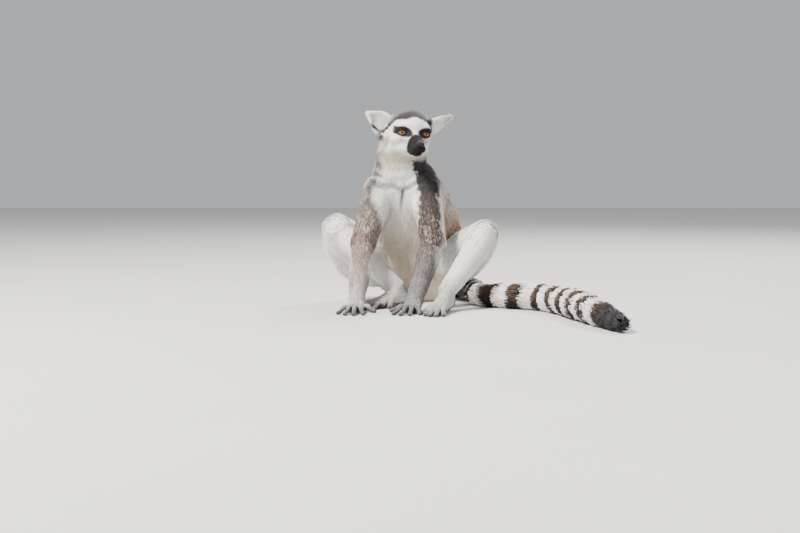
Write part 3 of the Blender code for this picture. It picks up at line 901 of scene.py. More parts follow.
NEIGHBOURS = {
    "trunk": "neck upper_L upper_R thigh_L thigh_R",
    "neck": "trunk upper_L upper_R head",
    "head": "neck",
    "tail": "trunk",
}
for key in "LR":
    NEIGHBOURS[f"upper_{key}"] = f"trunk neck fore_{key}"
    NEIGHBOURS[f"fore_{key}"] = f"upper_{key} hand_{key}"
    NEIGHBOURS[f"hand_{key}"] = f"fore_{key}"
    NEIGHBOURS[f"thigh_{key}"] = f"trunk shank_{key}"
    NEIGHBOURS[f"shank_{key}"] = f"thigh_{key} foot_{key}"
    NEIGHBOURS[f"foot_{key}"] = f"shank_{key}"
    NEIGHBOURS[f"ear_{key}"] = ""
HEAD_REACH, CHIN = 0.085, -0.044  # the head is within that of the eyes' middle, and above that
BLUR = 0.0045  # over how far one part's coat goes over into the next one's
JOINED = np.eye(len(REGIONS))
for name, others in NEIGHBOURS.items():
    for other in others.split():
        JOINED[NUMBER[name], NUMBER[other]] = 1


def find_regions(points):
    """The body part of each point, its share in each part, and the coat's flow and depth there."""
    gaps = np.full((len(points), len(REGIONS)), 1.0)
    ways = np.zeros((len(points), len(REGIONS), 3))
    coats = np.zeros((len(points), len(REGIONS)))
    for name, tube in TUBES.items():
        index, along, x, y = tube.locate(points)
        size = np.sqrt(tube.width[index] * tube.depth[index])
        at_end = (index == 0) | (index == len(tube.centres) - 1)
        beyond = np.where(at_end, np.abs(along), 0)
        radial = np.hypot(x / tube.width[index], y / tube.depth[index])
        above = np.maximum(radial - 1 + tube.coat[index] / size, -0.2) * size
        k = NUMBER[name]
        gaps[:, k] = np.hypot(above, beyond)
        kind, _, key = name.partition("_")
        if kind in ("hand", "foot"):
            low = np.flatnonzero(points[:, 2] < 0.035)
            for line, radii, _ in digits_of(key, kind):
                for point, radius in zip(line, radii):
                    gap = np.linalg.norm(points[low] - point, axis=1) - radius
                    gaps[low, k] = np.minimum(gaps[low, k], np.maximum(gap, 0))
        if name == "tail":
            gaps[:, k] += 0.012 * (tube.run[index] < 0.035)
        ways[:, k] = tube.way[index] * (-1 if name in ("trunk", "neck") else 1)
        coats[:, k] = tube.coat[index]
    heads = to_head(points)
    gap = np.full(len(points), 1e9)
    for centre, sizes in HEAD_MASSES:
        gap = np.minimum(gap, egg(*heads.T, centre, sizes))
    skull = NUMBER["head"]
    near_head = (np.linalg.norm(heads, axis=1) < HEAD_REACH) & (heads[:, 2] > CHIN)
    gaps[:, skull] = np.where(near_head, np.maximum(gap - 0.0030, 0), 1.0)
    ways[:, skull] = unit(heads - np.array((0, -0.046, -0.022))) @ HEAD_TURN.T
    coats[:, skull] = 0.004
    region = gaps.argmin(1)
    region[(gaps[:, skull] < 0.0005) & near_head & (gap < 0.004)] = skull
    share = np.exp(-(gaps - gaps[np.arange(len(points)), region][:, None]) / BLUR)
    for key in "LR":
        along, across, over = ear_place(key, heads)
        is_ear = (along > 0.10) & (along < 1.15) & (np.abs(across) < 1.15) & (np.abs(over) < 0.013)
        is_ear &= gap > 0.0012
        k = NUMBER[f"ear_{key}"]
        region[is_ear] = k
        way = HEAD_TURN @ (EAR_AXES[key] @ np.array((0, 0, 1.0)))
        out = HEAD_TURN @ (EAR_AXES[key] @ np.array((float(SIGN[key]), 0, 0)))
        ways[:, k] = way + out * (across * 0.35)[:, None]
        share[is_ear] = 0
        share[is_ear, k] = 1
    share = np.minimum(share, 1) * JOINED[region]
    share /= share.sum(1)[:, None]
    flow = unit((ways * share[..., None]).sum(1))
    return region, share, flow, (coats * share).sum(1)


# ---------------------------------------------------------------- markings, with painted shade and a painted highlight
WHITE, CREAM, PALE = (0.86, 0.845, 0.81), (0.70, 0.61, 0.49), (0.62, 0.60, 0.57)
GREY, RUFOUS = (0.33, 0.31, 0.29), (0.40, 0.26, 0.155)
RING_PERIOD, RING_SHARE, RING_START, RING_EDGE = 0.0455, 0.47, 0.002, 0.045
# From shoulder by elbow to wrist: the dark stripe's edges across each arm as seen from the
# front, and its colours.
ARM_MARKS = (0.0, 0.5, 1.0, 1.5, 2.0, 2.5, 3.0, 4.0)
STRIPE_LOW = {
    "L": (-0.50, -0.40, -0.50, -0.85, -1.00, -0.80, -1.10, -1.40),
    "R": (-1.40, -1.40, -1.40, -1.40, -1.40, -0.70, -0.50, -1.30),
}
STRIPE_HIGH = {
    "L": (0.70, 0.58, 0.50, 0.52, 0.60, 0.50, 0.80, 1.40),
    "R": (-0.45, -0.20, 0.40, 0.90, 0.95, 0.70, 0.50, 1.30),
}
ARM_DARK = {
    "L": (
        (0.030, 0.026, 0.028),
        (0.045, 0.033, 0.032),
        (0.095, 0.068, 0.058),
        (0.15, 0.132, 0.130),
        (0.20, 0.192, 0.20),
    ),
    "R": (
        (0.30, 0.265, 0.25),
        (0.24, 0.19, 0.17),
        (0.195, 0.14, 0.12),
        (0.28, 0.22, 0.19),
        (0.45, 0.425, 0.41),
    ),
}
MOTTLE = {
    "L": (0.0, 0.10, 0.35, 0.95, 1.0, 0.8, 0.45, 0.0),
    "R": (0.35, 0.40, 0.70, 1.0, 1.0, 0.7, 0.35, 0.0),
}
# The band over the left shoulder, where dark grey fur is painted near-black as painted shade: its
# edges in X, at heights Z.
BAND_Z = (0.130, 0.150, 0.175, 0.190, 0.200, 0.224, 0.236)
BAND_LOW = (-0.0030, 0.0000, -0.0010, -0.0050, -0.0120, -0.0130, -0.0060)
BAND_HIGH = (0.0230, 0.0205, 0.0195, 0.0195, 0.0185, 0.0180, 0.0120)


def along_colours(colours, share):
    """A colour between the given ones, at a share of the way through them."""
    marks = np.clip(share, 0, 1) * (len(colours) - 1)
    low = np.minimum(marks.astype(int), len(colours) - 2)
    table = np.array(colours)
    return mix(table[low], table[low + 1], marks - low)


# Folds of the upper chest, darkened as painted shade in their creases, and dashes beside the neck:
# X and Z of their ends, and how dark.
FOLDS = (
    ((-0.0280, 0.1790), (-0.0312, 0.1490), 1.0),
    ((-0.0280, 0.1790), (-0.0480, 0.1830), 1.0),
    ((-0.0480, 0.1830), (-0.0700, 0.1845), 0.9),
    ((-0.0280, 0.1790), (-0.0040, 0.1920), 1.0),
    ((-0.0400, 0.1855), (-0.0720, 0.1920), 0.7),
    ((-0.0780, 0.1530), (-0.0640, 0.1370), 0.9),
    ((-0.0645, 0.2165), (-0.0590, 0.2110), 1.0),
    ((-0.0685, 0.2030), (-0.0600, 0.1975), 1.0),
    ((-0.0790, 0.1935), (-0.0700, 0.1890), 1.0),
)
# Browner fur over the right shoulder's outer edge, and dark locks beside the neck.
SHOULDER_EDGE = (
    ((-0.0740, 0.1890), (-0.0890, 0.1400), 0.9),
    ((-0.0640, 0.2080), (-0.0740, 0.1890), 0.6),
)
FOLD, FOLD_HOLLOW, EDGE_WIDTH, LOCK_WIDTH = 0.0028, 0.012, 0.0090, 0.0042  # half-widths
NECK_LOCKS = (
    ((-0.0625, 0.2630), (-0.0580, 0.2575), 1.0),
    ((-0.0655, 0.2380), (-0.0590, 0.2130), 1.0),
    ((-0.0670, 0.2060), (-0.0695, 0.1880), 0.9),
    ((-0.0760, 0.1870), (-0.0560, 0.1790), 0.7),
    ((-0.0760, 0.1810), (-0.0785, 0.1580), 0.9),
    ((-0.0800, 0.1560), (-0.0870, 0.1380), 0.7),
)


def chest_lines(points, normals, size=FOLD, lines=FOLDS):
    """1 on lines of the upper chest, which are its folds unless others are given, 0 off them."""
    flat, near = points[:, (0, 2)], np.zeros(len(points))
    for start, end, depth in lines:
        way = np.subtract(end, start)
        share = np.clip((flat - start) @ way / (way @ way), 0, 1)
        gap = np.linalg.norm(flat - start - share[:, None] * way, axis=1)
        fade = 0.70 if way @ way > 0.02**2 and size < 0.004 else 0.15  # long thin folds fade out
        strength = depth * (1 - fade * share**3)
        near = np.maximum(near, strength * hump(gap, 0, size * (1 - 0.35 * share)))
    return near * blend(0.1, 0.5, normals @ FACING) * (points[:, 1] < -0.05)


def shoulder_shade_band(points, normals, ragged):
    """1 in the band from beside the throat over the left shoulder, where dark grey fur is painted
    near-black as painted shade.
    """
    x = points[:, 0] + 0.0030 * ragged + 0.0026 * waves(points * (1, 1, 2), 0.0050, 33)
    z = points[:, 2]
    low, high = np.interp(z, BAND_Z, BAND_LOW), np.interp(z, BAND_Z, BAND_HIGH)
    band = blend(low - 0.0034, low + 0.0034, x) * blend(high + 0.0034, high - 0.0034, x)
    band = band * blend(0.126, 0.146, z) * blend(0.243, 0.233, z)
    return band * blend(-0.25, 0.20, 0.35 * normals[:, 2] - normals[:, 1])


def trunk_colour(_, points, normals, ragged):
    front = normals @ FACING + 0.10 * ragged
    side = normals @ LEFT_SIDE
    belly = mix(CREAM, WHITE, blend(0.085, 0.150, points[:, 2] + 0.010 * ragged))
    back = mix((0.42, 0.35, 0.28), RUFOUS, blend(0.02, 0.07, points[:, 2]))
    back = mix(back, (0.44, 0.36, 0.32), blend(0.115, 0.150, points[:, 2] + 0.01 * ragged))
    back = mix(back, GREY, blend(0.15, 0.20, points[:, 2] + 0.01 * ragged))
    spine = hump(side, 0, 0.28) * blend(0.2, -0.6, front)
    back = mix(back, (0.25, 0.21, 0.18), 0.55 * spine)
    limit = 0.12 + 0.66 * blend(-0.1, 0.45, side)
    return mix(belly, back, blend(limit + 0.16, limit - 0.16, front))


def across_front(tube, points):
    """The share along a tube, and the place across it seen from the front, -1 to 1."""
    index, _, share = tube.progress(points)
    return share, (points[:, 0] - tube.centres[index, 0]) / tube.width[index]


def neck_colour(_, points, normals, ragged):
    front, side = normals @ FACING, normals @ LEFT_SIDE
    _, place = across_front(TUBES["neck"], points)
    # The neck's front is white, and tan at its top under the chin: partly the fur's own tint,
    # partly painted shade under the head.
    front_with_chin_shade = mix(WHITE, (0.50, 0.43, 0.31), blend(0.203, 0.234, points[:, 2]))
    streaks = waves(points * (0.7, 1, 2.6), 0.007, 31)
    # The left side of the neck is dark grey fur, painted near-black here as painted shade.
    left = blend(0.45, 0.65, place + 0.10 * ragged + 0.08 * streaks) * blend(-0.40, 0.10, front)
    right = blend(0.45, 0.85, -side + 0.20 * ragged) * blend(-0.8, -0.2, front)
    right = right * (0.25 + 0.5 * blend(-0.2, 0.2, streaks))
    back = blend(0.10, -0.35, front + 0.1 * ragged)
    colour = mix(front_with_chin_shade, (0.27, 0.25, 0.235), back)
    colour = mix(colour, (0.030, 0.027, 0.032), 0.97 * left)
    return mix(colour, (0.20, 0.19, 0.20), right)


def arm_stripe(name, points, shift, outer, inner):
    """Places along an arm (shoulder 0, wrist 4) and across it, and 1 in its dark stripe."""
    part, _, key = name.partition("_")
    share, place = across_front(TUBES[name], points)
    mark, place = 2 * share + 2 * (part == "fore"), place + shift
    low, high = (np.interp(mark, ARM_MARKS, edge[key]) for edge in (STRIPE_LOW, STRIPE_HIGH))
    stripe = blend(low - outer, low + inner, place) * blend(high + outer, high - inner, place)
    return mark, place, stripe


def arm_colour(name, points, normals, ragged):
    key = name[-1]
    mark, place, stripe = arm_stripe(name, points, 0.14 * ragged, 0.13, 0.13)
    front = blend(-0.25, 0.30, -normals[:, 1] + 0.5 * np.maximum(normals[:, 2], 0))
    outwards = place * SIGN[key]
    outer = mix((0.74, 0.71, 0.66), (0.52, 0.50, 0.485), blend(1.6, 2.8, mark))
    plain = mix((0.84, 0.82, 0.77), outer, blend(-0.2, 0.4, outwards))
    behind = mix((0.30, 0.27, 0.25), (0.50, 0.48, 0.46), blend(1.0, 3.0, mark))
    colour = mix(plain, along_colours(ARM_DARK[key], mark / 4), stripe)
    colour = mix(behind, colour, front)
    if key == "L":
        return colour
    top = blend(0.35, 0.0, mark) * blend(-0.1, 0.35, outwards + 0.5 * normals[:, 2])
    return mix(colour, (0.36, 0.33, 0.32), 0.8 * top)


def arm_mottle(points, shares):
    """How strongly light and dark hairs are mixed at points of the arms."""
    much = np.zeros(len(points))
    for name in ("upper_L", "fore_L", "upper_R", "fore_R"):
        mark, _, stripe = arm_stripe(name, points, 0, 0.3, 0.1)
        here = np.interp(mark, ARM_MARKS, MOTTLE[name[-1]]) * (0.25 + 0.75 * stripe)
        much += here * shares[:, NUMBER[name]]
    return much


def leg_colour(name, points, normals, ragged):
    _, _, share = TUBES[name].progress(points)
    back = normals[:, 1] + 0.2 * ragged
    if name.startswith("thigh"):
        inner = mix(WHITE, CREAM, 0.55 * blend(0.45, 0.0, share))
        return mix(inner, (0.42, 0.36, 0.31), blend(0.30, 0.85, back) * blend(0.60, 0.20, share))
    out = normals[:, 0] * SIGN[name[-1]] + 0.2 * ragged
    low = blend(0.10, 0.40, share)
    ticked = (0.30 if name[-1] == "L" else 0.05) * blend(0.65, 0.98, out) * low
    ticked = ticked + 0.25 * blend(0.5, 0.95, back) * low
    colour = mix(WHITE, (0.40, 0.38, 0.36), np.clip(ticked, 0, 0.6))
    return mix(colour, (0.66, 0.65, 0.63), blend(0.75, 1.0, share))


PAW_COAT = {
    "hand_L": (0.22, 0.215, 0.23),
    "hand_R": (0.50, 0.49, 0.48),
    "foot_L": (0.50, 0.49, 0.46),
    "foot_R": (0.66, 0.64, 0.60),
}
PAW_BARE = {"hand": (0.13, 0.115, 0.115), "foot": (0.24, 0.195, 0.18)}


def digit_gap(key, kind, points):
    """Each point's gap from its nearest digit, and the share of the way along that digit."""
    nearest, share = np.full(len(points), 1.0), np.zeros(len(points))
    for line, radii, heading in digits_of(key, kind):
        length = np.linalg.norm(line[-1] - line[0]) + radii[-1]
        along = (points - line[0]) @ heading_vector(heading) / length
        for point, radius in zip(line, radii):
            gap = np.linalg.norm(points - point, axis=1) - radius
            near = gap < nearest
            nearest[near], share[near] = gap[near], along[near]
    return nearest, share


def paw_colour(name, points, normals, ragged):
    kind, key = name.split("_")
    nearest, share = digit_gap(key, kind, points)
    on_digit = blend(0.0040, 0.0010, nearest) * blend(0.0, 0.12, share)
    # the dips between the bones of the palm or sole, darkened towards the bare skin's colour as
    # painted shade
    heading = PAW_HEADING[kind][key]
    off = points - np.array(PAW_JOINT[kind][key]) * (1, 1, 0)
    forward, across = off @ heading_vector(heading), off @ left_of(heading) * SIGN[key]
    fan, start = (0.55 + 14 * forward, 0) if kind == "hand" else (1, 0.012)
    line = np.min([np.abs(across - dip * fan) for dip in (-0.0051, 0.0009, 0.0067)], axis=0)
    dip = blend(0.0016, 0.0004, line) * blend(0.004, 0.016, forward - start)
    colour = mix(PAW_COAT[name], PAW_BARE[kind], 0.60 * dip)
    fade = on_digit * blend(0.05, 0.75, share + 0.12 * ragged)
    colour = mix(colour, PAW_BARE[kind], fade)
    # Painted shade: the digits' sides and undersides are darkened nearly to black.
    flank_shade = on_digit * blend(0.45, -0.15, normals[:, 2])
    colour = mix(colour, (0.060, 0.052, 0.052), 0.85 * flank_shade)
    joints = hump(share, 0.38, 0.030) + hump(share, 0.70, 0.026)
    colour = mix(colour, (0.050, 0.045, 0.045), 0.45 * on_digit * joints)
    return mix(colour, (0.07, 0.06, 0.06), blend(-0.2, -0.8, normals[:, 2]))


def tail_colour(_, points, normals, ragged):
    _, run, _ = TAIL.progress(points)
    ring = (run + 0.0035 * ragged - RING_START) / RING_PERIOD
    phase = ring - np.floor(ring)
    dark = blend(0, RING_EDGE, phase) * blend(RING_SHARE + RING_EDGE, RING_SHARE, phase)
    # A painted highlight: the middle of each dark ring is brown on its upper side, and near-black
    # below.
    ring_highlight = hump(phase, RING_SHARE / 2, 0.12) * blend(-0.6, 0.6, normals[:, 2])
    brown = mix((0.022, 0.018, 0.018), (0.130, 0.075, 0.040), 0.75 * ring_highlight)
    colour = mix(mix(WHITE, (0.80, 0.79, 0.76), blend(0.3, 0.5, run)), brown, dark)
    end = blend(-0.062, -0.050, run + 0.004 * ragged - TAIL.run[-1])
    return mix(colour, (0.030, 0.028, 0.030), end)


def head_colour(_, points, _normals, ragged):
    x, y, z = to_head(points).T * 1000  # in millimetres
    out = np.abs(x)
    # Under the chin the fur is tan: partly its own tint, partly painted shade under the head.
    under_chin_shade = blend(-24, -34, z) * blend(-8, 6, y)
    colour = mix((0.84, 0.83, 0.80), (0.58, 0.51, 0.39), 0.8 * under_chin_shade)
    edge = 21.0 - 8.5 * (out / 26) ** 2 - 0.10 * np.maximum(y - 12, 0) + 1.4 * ragged
    edge = np.where(y > 14, edge - 1.15 * (y - 14), edge)
    rim = hump(np.maximum(z - edge - 4.0, 0), 0, 6.0) * blend(38, 22, y)
    cap = mix((0.15, 0.145, 0.145), (0.030, 0.028, 0.034), 0.97 * rim)
    colour = mix(colour, cap, blend(-0.8, 0.8, z - edge))
    nape = blend(34, 48, y + 2 * ragged) * blend(-22, 0, z)
    colour = mix(colour, (0.27, 0.25, 0.24), nape)
    temple = blend(20, 25, out) * blend(18, 30, y) * blend(4, 12, z)
    colour = mix(colour, (0.30, 0.29, 0.28), 0.7 * temple)
    down = np.where(z < 0, 1.15, 1.0)
    patch = ((out - 17.0) / 12.4) ** 2 + ((z - 0.2 - 0.10 * (out - 17)) / 8.2 * down) ** 2
    front = blend(16, 9, y)
    halo = blend(1.42, 1.0, patch + 0.10 * ragged) * front
    colour = mix(colour, (0.17, 0.175, 0.20), 0.8 * halo)
    colour = mix(colour, (0.016, 0.015, 0.019), blend(1.12, 0.84, patch + 0.08 * ragged) * front)
    cheek = hump(out, 15, 9) * hump(z, -12.5, 4.4) * blend(14, 4, y)
    colour = mix(colour, (0.13, 0.135, 0.155), 0.72 * cheek)
    limit = -14.2 - 0.34 * np.clip(out - 2, 0, 12) + 0.42 * np.clip(-16 - z, 0, 12)
    snout = blend(0.9, -0.9, y - limit + 0.5 * ragged) * blend(-37.5, -35.5, z)
    colour = mix(colour, (0.008, 0.007, 0.008), snout)
    lips = hump(z, 1000 * lip_height(y / 1000), 1.6) * blend(-7, -11, y)
    return mix(colour, (0.006, 0.005, 0.006), lips)


def ear_colour(name, points, normals, ragged):
    along, across, _ = ear_place(name[-1], to_head(points))
    facing = (normals @ HEAD_TURN)[:, 1] < 0.1
    # Painted shade: the ear's hollow is greyer near its base.
    hollow_shade = blend(0.62, 0.15, along) * blend(0.65, 0.2, np.abs(across)) * facing
    colour = mix((0.82, 0.81, 0.78), (0.46, 0.42, 0.40), 0.55 * hollow_shade)
    if name == "ear_R":
        streak = hump(along, 0.58, 0.24) * hump(across, 0.62, 0.14)
        spot = hump(along, 0.10, 0.12) * hump(across, 0.60, 0.20)
        return mix(colour, (0.035, 0.035, 0.038), np.clip(1.4 * (streak + spot), 0, 1) * facing)
    tip = blend(0.70, 0.95, along + 0.08 * ragged)
    return mix(colour, (0.50, 0.42, 0.38), 0.6 * tip)


PAINTERS = {
    "trunk": trunk_colour,
    "neck": neck_colour,
    "upper": arm_colour,
    "fore": arm_colour,
    "thigh": leg_colour,
    "shank": leg_colour,
    "hand": paw_colour,
    "foot": paw_colour,
    "tail": tail_colour,
    "head": head_colour,
    "ear": ear_colour,
}


def markings(points, normals, shares):
    """The coat's colour at points of the skin, from their shares in the body's parts, with some
    painted shade and a painted highlight.
    """
    ragged = 0.6 * waves(points, 0.011, 5) + 0.5 * waves(points, 0.0035, 6)
    colour, total = np.zeros((len(points), 3)), np.zeros(len(points))
    for number, name in enumerate(REGIONS):
        here = shares[:, number] > 0.03
        if here.any():
            share, painter = shares[here, number], PAINTERS[name.partition("_")[0]]
            made = painter(name, points[here], normals[here], ragged[here])
            colour[here] += made * share[:, None]
            total[here] += share
    colour /= np.maximum(total, 1e-6)[:, None]
    edge = 0.85 * chest_lines(points, normals, EDGE_WIDTH, SHOULDER_EDGE)
    edge = edge * np.clip(0.85 + 0.3 * ragged, 0, 1.1)
    colour = mix(colour, (0.165, 0.125, 0.110), edge)
    locks = chest_lines(points, normals, LOCK_WIDTH, NECK_LOCKS)
    locks = locks * np.clip(0.8 + 0.5 * ragged, 0, 1.1)
    colour = mix(colour, (0.070, 0.060, 0.060), 0.9 * locks)
    # Painted shade: the band over the left shoulder turns dark grey fur near-black.
    banded = shares[:, [NUMBER[name] for name in ("trunk", "neck", "upper_L")]].sum(1)
    band = shoulder_shade_band(points, normals, ragged) * blend(0.1, 0.5, banded)
    band_shade_colour = mix((0.064, 0.048, 0.045), (0.032, 0.027, 0.029), blend(0.15, 0.19, points[:, 2]))
    return mix(colour, band_shade_colour, band)


# ---------------------------------------------------------------- the skin
def thinned(points, quads, target):
    """The surface with about as many triangles as target: points and triangles."""
    holder = add_object("thick skin", raw_mesh("thick skin", points, *even_faces(quads)))
    thin = holder.modifiers.new("thin", "DECIMATE")
    thin.ratio = target / (2 * len(quads))
    graph = bpy.context.evaluated_depsgraph_get()
    mesh = bpy.data.meshes.new_from_object(holder.evaluated_get(graph))
    bpy.data.objects.remove(holder)
    mesh.calc_loop_triangles()
    made = np.empty(len(mesh.vertices) * 3, np.float32)
    mesh.vertices.foreach_get("co", made)
    triangles = np.empty(len(mesh.loop_triangles) * 3, np.int32)
    mesh.loop_triangles.foreach_get("vertices", triangles)
    bpy.data.meshes.remove(mesh)
    return made.reshape(-1, 3).astype(float), triangles.reshape(-1, 3)


def largest_only(points, triangles):
    """The surface without crumbs that aren't joined to the body."""
    label = np.arange(len(points))
    while True:
        low = np.minimum.reduce([label[triangles[:, k]] for k in range(3)])
        new = label.copy()
        for k in range(3):
            np.minimum.at(new, triangles[:, k], low)
        new = new[new]
        if (new == label).all():
            break
        label = new
    names, counts = np.unique(label, return_counts=True)
    keep = label == names[counts.argmax()]
    renumber = np.cumsum(keep) - 1
    return points[keep], renumber[triangles[keep[triangles[:, 0]]]]


def vertex_normals(points, triangles):
    """The normals at the points."""
    a, b, c = (points[triangles[:, k]] for k in range(3))
    face = np.cross(b - a, c - a)
    total = np.zeros_like(points)
    for k in range(3):
        for axis in range(3):
            total[:, axis] += np.bincount(triangles[:, k], face[:, axis], len(points))
    return unit(total)


def softened(values, triangles, rounds):
    """Values at the corners, evened out with their neighbours."""
    count = len(values)
    pairs = np.vstack([triangles[:, (0, 1)], triangles[:, (1, 2)], triangles[:, (2, 0)]])
    both = np.concatenate([pairs[:, 0], pairs[:, 1]]), np.concatenate([pairs[:, 1], pairs[:, 0]])
    degree = np.maximum(np.bincount(both[0], minlength=count), 1)
    for _ in range(rounds):
        total = np.stack(
            [np.bincount(both[0], values[both[1], k], count) for k in range(values.shape[1])], 1
        )
        values = 0.35 * values + 0.65 * total / degree[:, None]
    return values


SKIN_TRIANGLES = 188_000
rough_points, rough_quads = skin_surface()
SKIN, SKIN_FACES = largest_only(*thinned(rough_points, rough_quads, SKIN_TRIANGLES))
SKIN[:, 2] = np.maximum(SKIN[:, 2], 0)
SKIN_NORMALS = vertex_normals(SKIN, SKIN_FACES)
SKIN_REGION, SKIN_SHARE, SKIN_FLOW, SKIN_COAT = find_regions(SKIN)
SKIN_FLOW = SKIN_FLOW - (SKIN_FLOW * SKIN_NORMALS).sum(1)[:, None] * SKIN_NORMALS
SKIN_FLOW = softened(SKIN_FLOW, SKIN_FACES, 6)
SKIN_STAND = 1 - blend(0.12, 0.50, np.linalg.norm(SKIN_FLOW, axis=1))  # where the hairs stand up
SKIN_FLOW = unit(SKIN_FLOW)
skin_colours = markings(SKIN, SKIN_NORMALS, SKIN_SHARE)
UNDER = {"head": 0.92, "ear": 0.9, "hand": 1, "foot": 1}  # how light the skin is under its coat
under = np.array([UNDER.get(name.partition("_")[0], 0.8) for name in REGIONS])[SKIN_REGION]
skin = new_piece(
    "skin", SKIN, even_faces(SKIN_FACES), softened(skin_colours * under[:, None], SKIN_FACES, 1)
)
skin.data.materials.append(skin_material())
FLESH = [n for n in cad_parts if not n.startswith(("eye_", "nose"))]
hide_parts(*FLESH)


# ---------------------------------------------------------------- eyes, nose and nails
def eye(key):
    """A ball whose iris and pupil are painted by the angle from the way it looks.

    Its faces are sorted, as a new ball's come in any order.
    """
    working = bmesh.new()
    bmesh.ops.create_uvsphere(working, u_segments=96, v_segments=72, radius=1)
    points = np.array([v.co[:] for v in working.verts])
    faces = sorted([v.index for v in f.verts] for f in working.faces)
    working.free()
    angle = np.degrees(np.arccos(np.clip(points[:, 2], -1, 1)))
    around = np.arctan2(points[:, 1], points[:, 0])
    fibre = 0.5 + 0.5 * np.sin(around * 31 + 3 * np.sin(around * 7)) * np.sin(angle * 0.9)
    iris = mix((0.37, 0.125, 0.010), (0.20, 0.055, 0.006), 0.6 * fibre)
    iris = mix(iris, (0.50, 0.215, 0.028), 0.5 * hump(angle, 19, 7))
    iris = mix(iris, (0.12, 0.045, 0.012), blend(40, 48, angle))
    colour = np.where((angle < 50)[:, None], iris, (0.045, 0.026, 0.016))
    colour = mix(colour, (0.003, 0.003, 0.003), blend(13.5, 11.5, angle))
    bulge = 1 + 0.030 * hump(angle, 0, 34)  # the cornea
    _, up, look = eye_frame(key)
    turn = np.stack([np.cross(up, look), up, look], 1)
    placed = from_head((points * bulge[:, None] * (EYE_RADIUS * 0.995)) @ turn.T + EYE_AT[key])
    corners = np.concatenate([np.array(f) for f in faces])
    starts = np.cumsum([0] + [len(f) for f in faces[:-1]])
    side = SIDE_NAME[key]
    piece = new_piece(f"eyeball_{side}", placed, (corners, starts), colour)
    shader = Shader(f"eye {side}")
    shader.set(Roughness=0.35, Specular_IOR_Level=0.08, Coat_Weight=0.22, Coat_Roughness=0.02)
    shader.marked(1400, 0.12)
    piece.data.materials.append(shader.material)
    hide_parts(f"eye_{side}")


def nose_pad():
    cell = 0.00030
    reach = np.array((0.0095, 0.0110, 0.0085))
    centre = np.array(NOSE_CENTRE)
    axes = [np.arange(c - r, c + r, cell) for c, r in zip(centre, reach)]
    x, y, z = np.meshgrid(*axes, indexing="ij")
    pad = egg(x, y, z, centre + (0, 0.0003, -0.0004), np.array(NOSE_SIZE) * (0.88, 0.94, 0.80))
    bridge = egg(x, y, z, centre + (0, 0.0040, 0.0012), (0.0046, 0.0056, 0.0036))
    pad = smooth_min(pad, bridge, 0.0022)
    for sign in (-1, 1):
        wing = egg(x, y, z, centre + (sign * 0.0034, -0.0002, -0.0012), (0.0027, 0.0034, 0.0025))
        pad = smooth_min(pad, wing, 0.0012)
        hole = centre + (sign * 0.0033, -0.0046, -0.0008)
        nostril = egg(x, y, z, hole, (0.00125, 0.0022, 0.0009))
        pad = smooth_max(pad, -nostril, 0.0005)
        slit = egg(x, y, z, centre + (sign * 0.0050, -0.0026, -0.0010), (0.0022, 0.0026, 0.0005))
        pad = smooth_max(pad, -slit, 0.0004)
    groove = np.maximum(np.abs(x) - 0.00025, -(pad + 0.0007))
    groove = np.maximum(groove, z - centre[2] + 0.0004)
    pad = smooth_max(pad, -groove, 0.0005)
    grid = openvdb.FloatGrid(1.0)
    grid.transform = openvdb.createLinearTransform(cell)
    low = tuple(int(round(a[0] / cell)) for a in axes)
    grid.copyFromArray(np.ascontiguousarray(pad, np.float32), ijk=low, tolerance=0.0)
    points, quads = grid.convertToQuads(0.0)
    piece = new_piece("nose_pad", from_head(points.astype(float)), even_faces(quads))
    shader = Shader("nose leather")
    shader.two_tone(500, 3.0, (0.010, 0.009, 0.010), (0.030, 0.027, 0.028))
    shader.set(Roughness=0.46, Specular_IOR_Level=0.24)
    shader.bump(shader.cells(2600), 0.35, 0.0002)
    piece.data.materials.append(shader.material)
    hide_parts("nose")


NAIL_SLOPE = math.radians(24)


def nails(key, kind):
    """One small curved nail on top of each digit's end."""
    working = bmesh.new()
    for points, radii, heading in digits_of(key, kind):
        way, left, size = heading_vector(heading), left_of(heading), radii[-1]
        tip = points[-1] + way * size * 0.30 + np.array((0, 0, 1)) * size * 0.52
        along = way * math.cos(NAIL_SLOPE) - np.array((0, 0, 1)) * math.sin(NAIL_SLOPE)
        up = np.cross(left, along)
        up = up if up[2] > 0 else -up
        ball = bmesh.ops.create_uvsphere(working, u_segments=16, v_segments=10, radius=1)
        for v in ball["verts"]:
            a, b, c = v.co
            pinch = 1 - 0.30 * max(b, 0) ** 2
            spot = (
                tip
                + left * (a * size * 0.62 * pinch)
                + along * (b * size * 1.15)
                + up * ((c * 0.34 - 0.16 * a * a - 0.10 * b * b) * size)
            )
            v.co = (spot[0], spot[1], max(spot[2], 0.0002))
    side = SIDE_NAME[key]
    piece = from_bmesh(f"nails_{kind}_{side}", working)
    shader = Shader(f"nail {kind} {side}")
    shader.two_tone(420, 2.0, (0.035, 0.030, 0.030), (0.10, 0.085, 0.08))
    shader.set(Roughness=0.36, Specular_IOR_Level=0.5)
    shader.bump(shader.noise(900, 2.0), 0.2, 0.0002)
    piece.data.materials.append(shader.material)


for key in "LR":
    eye(key)
    nails(key, "hand")
    nails(key, "foot")
nose_pad()


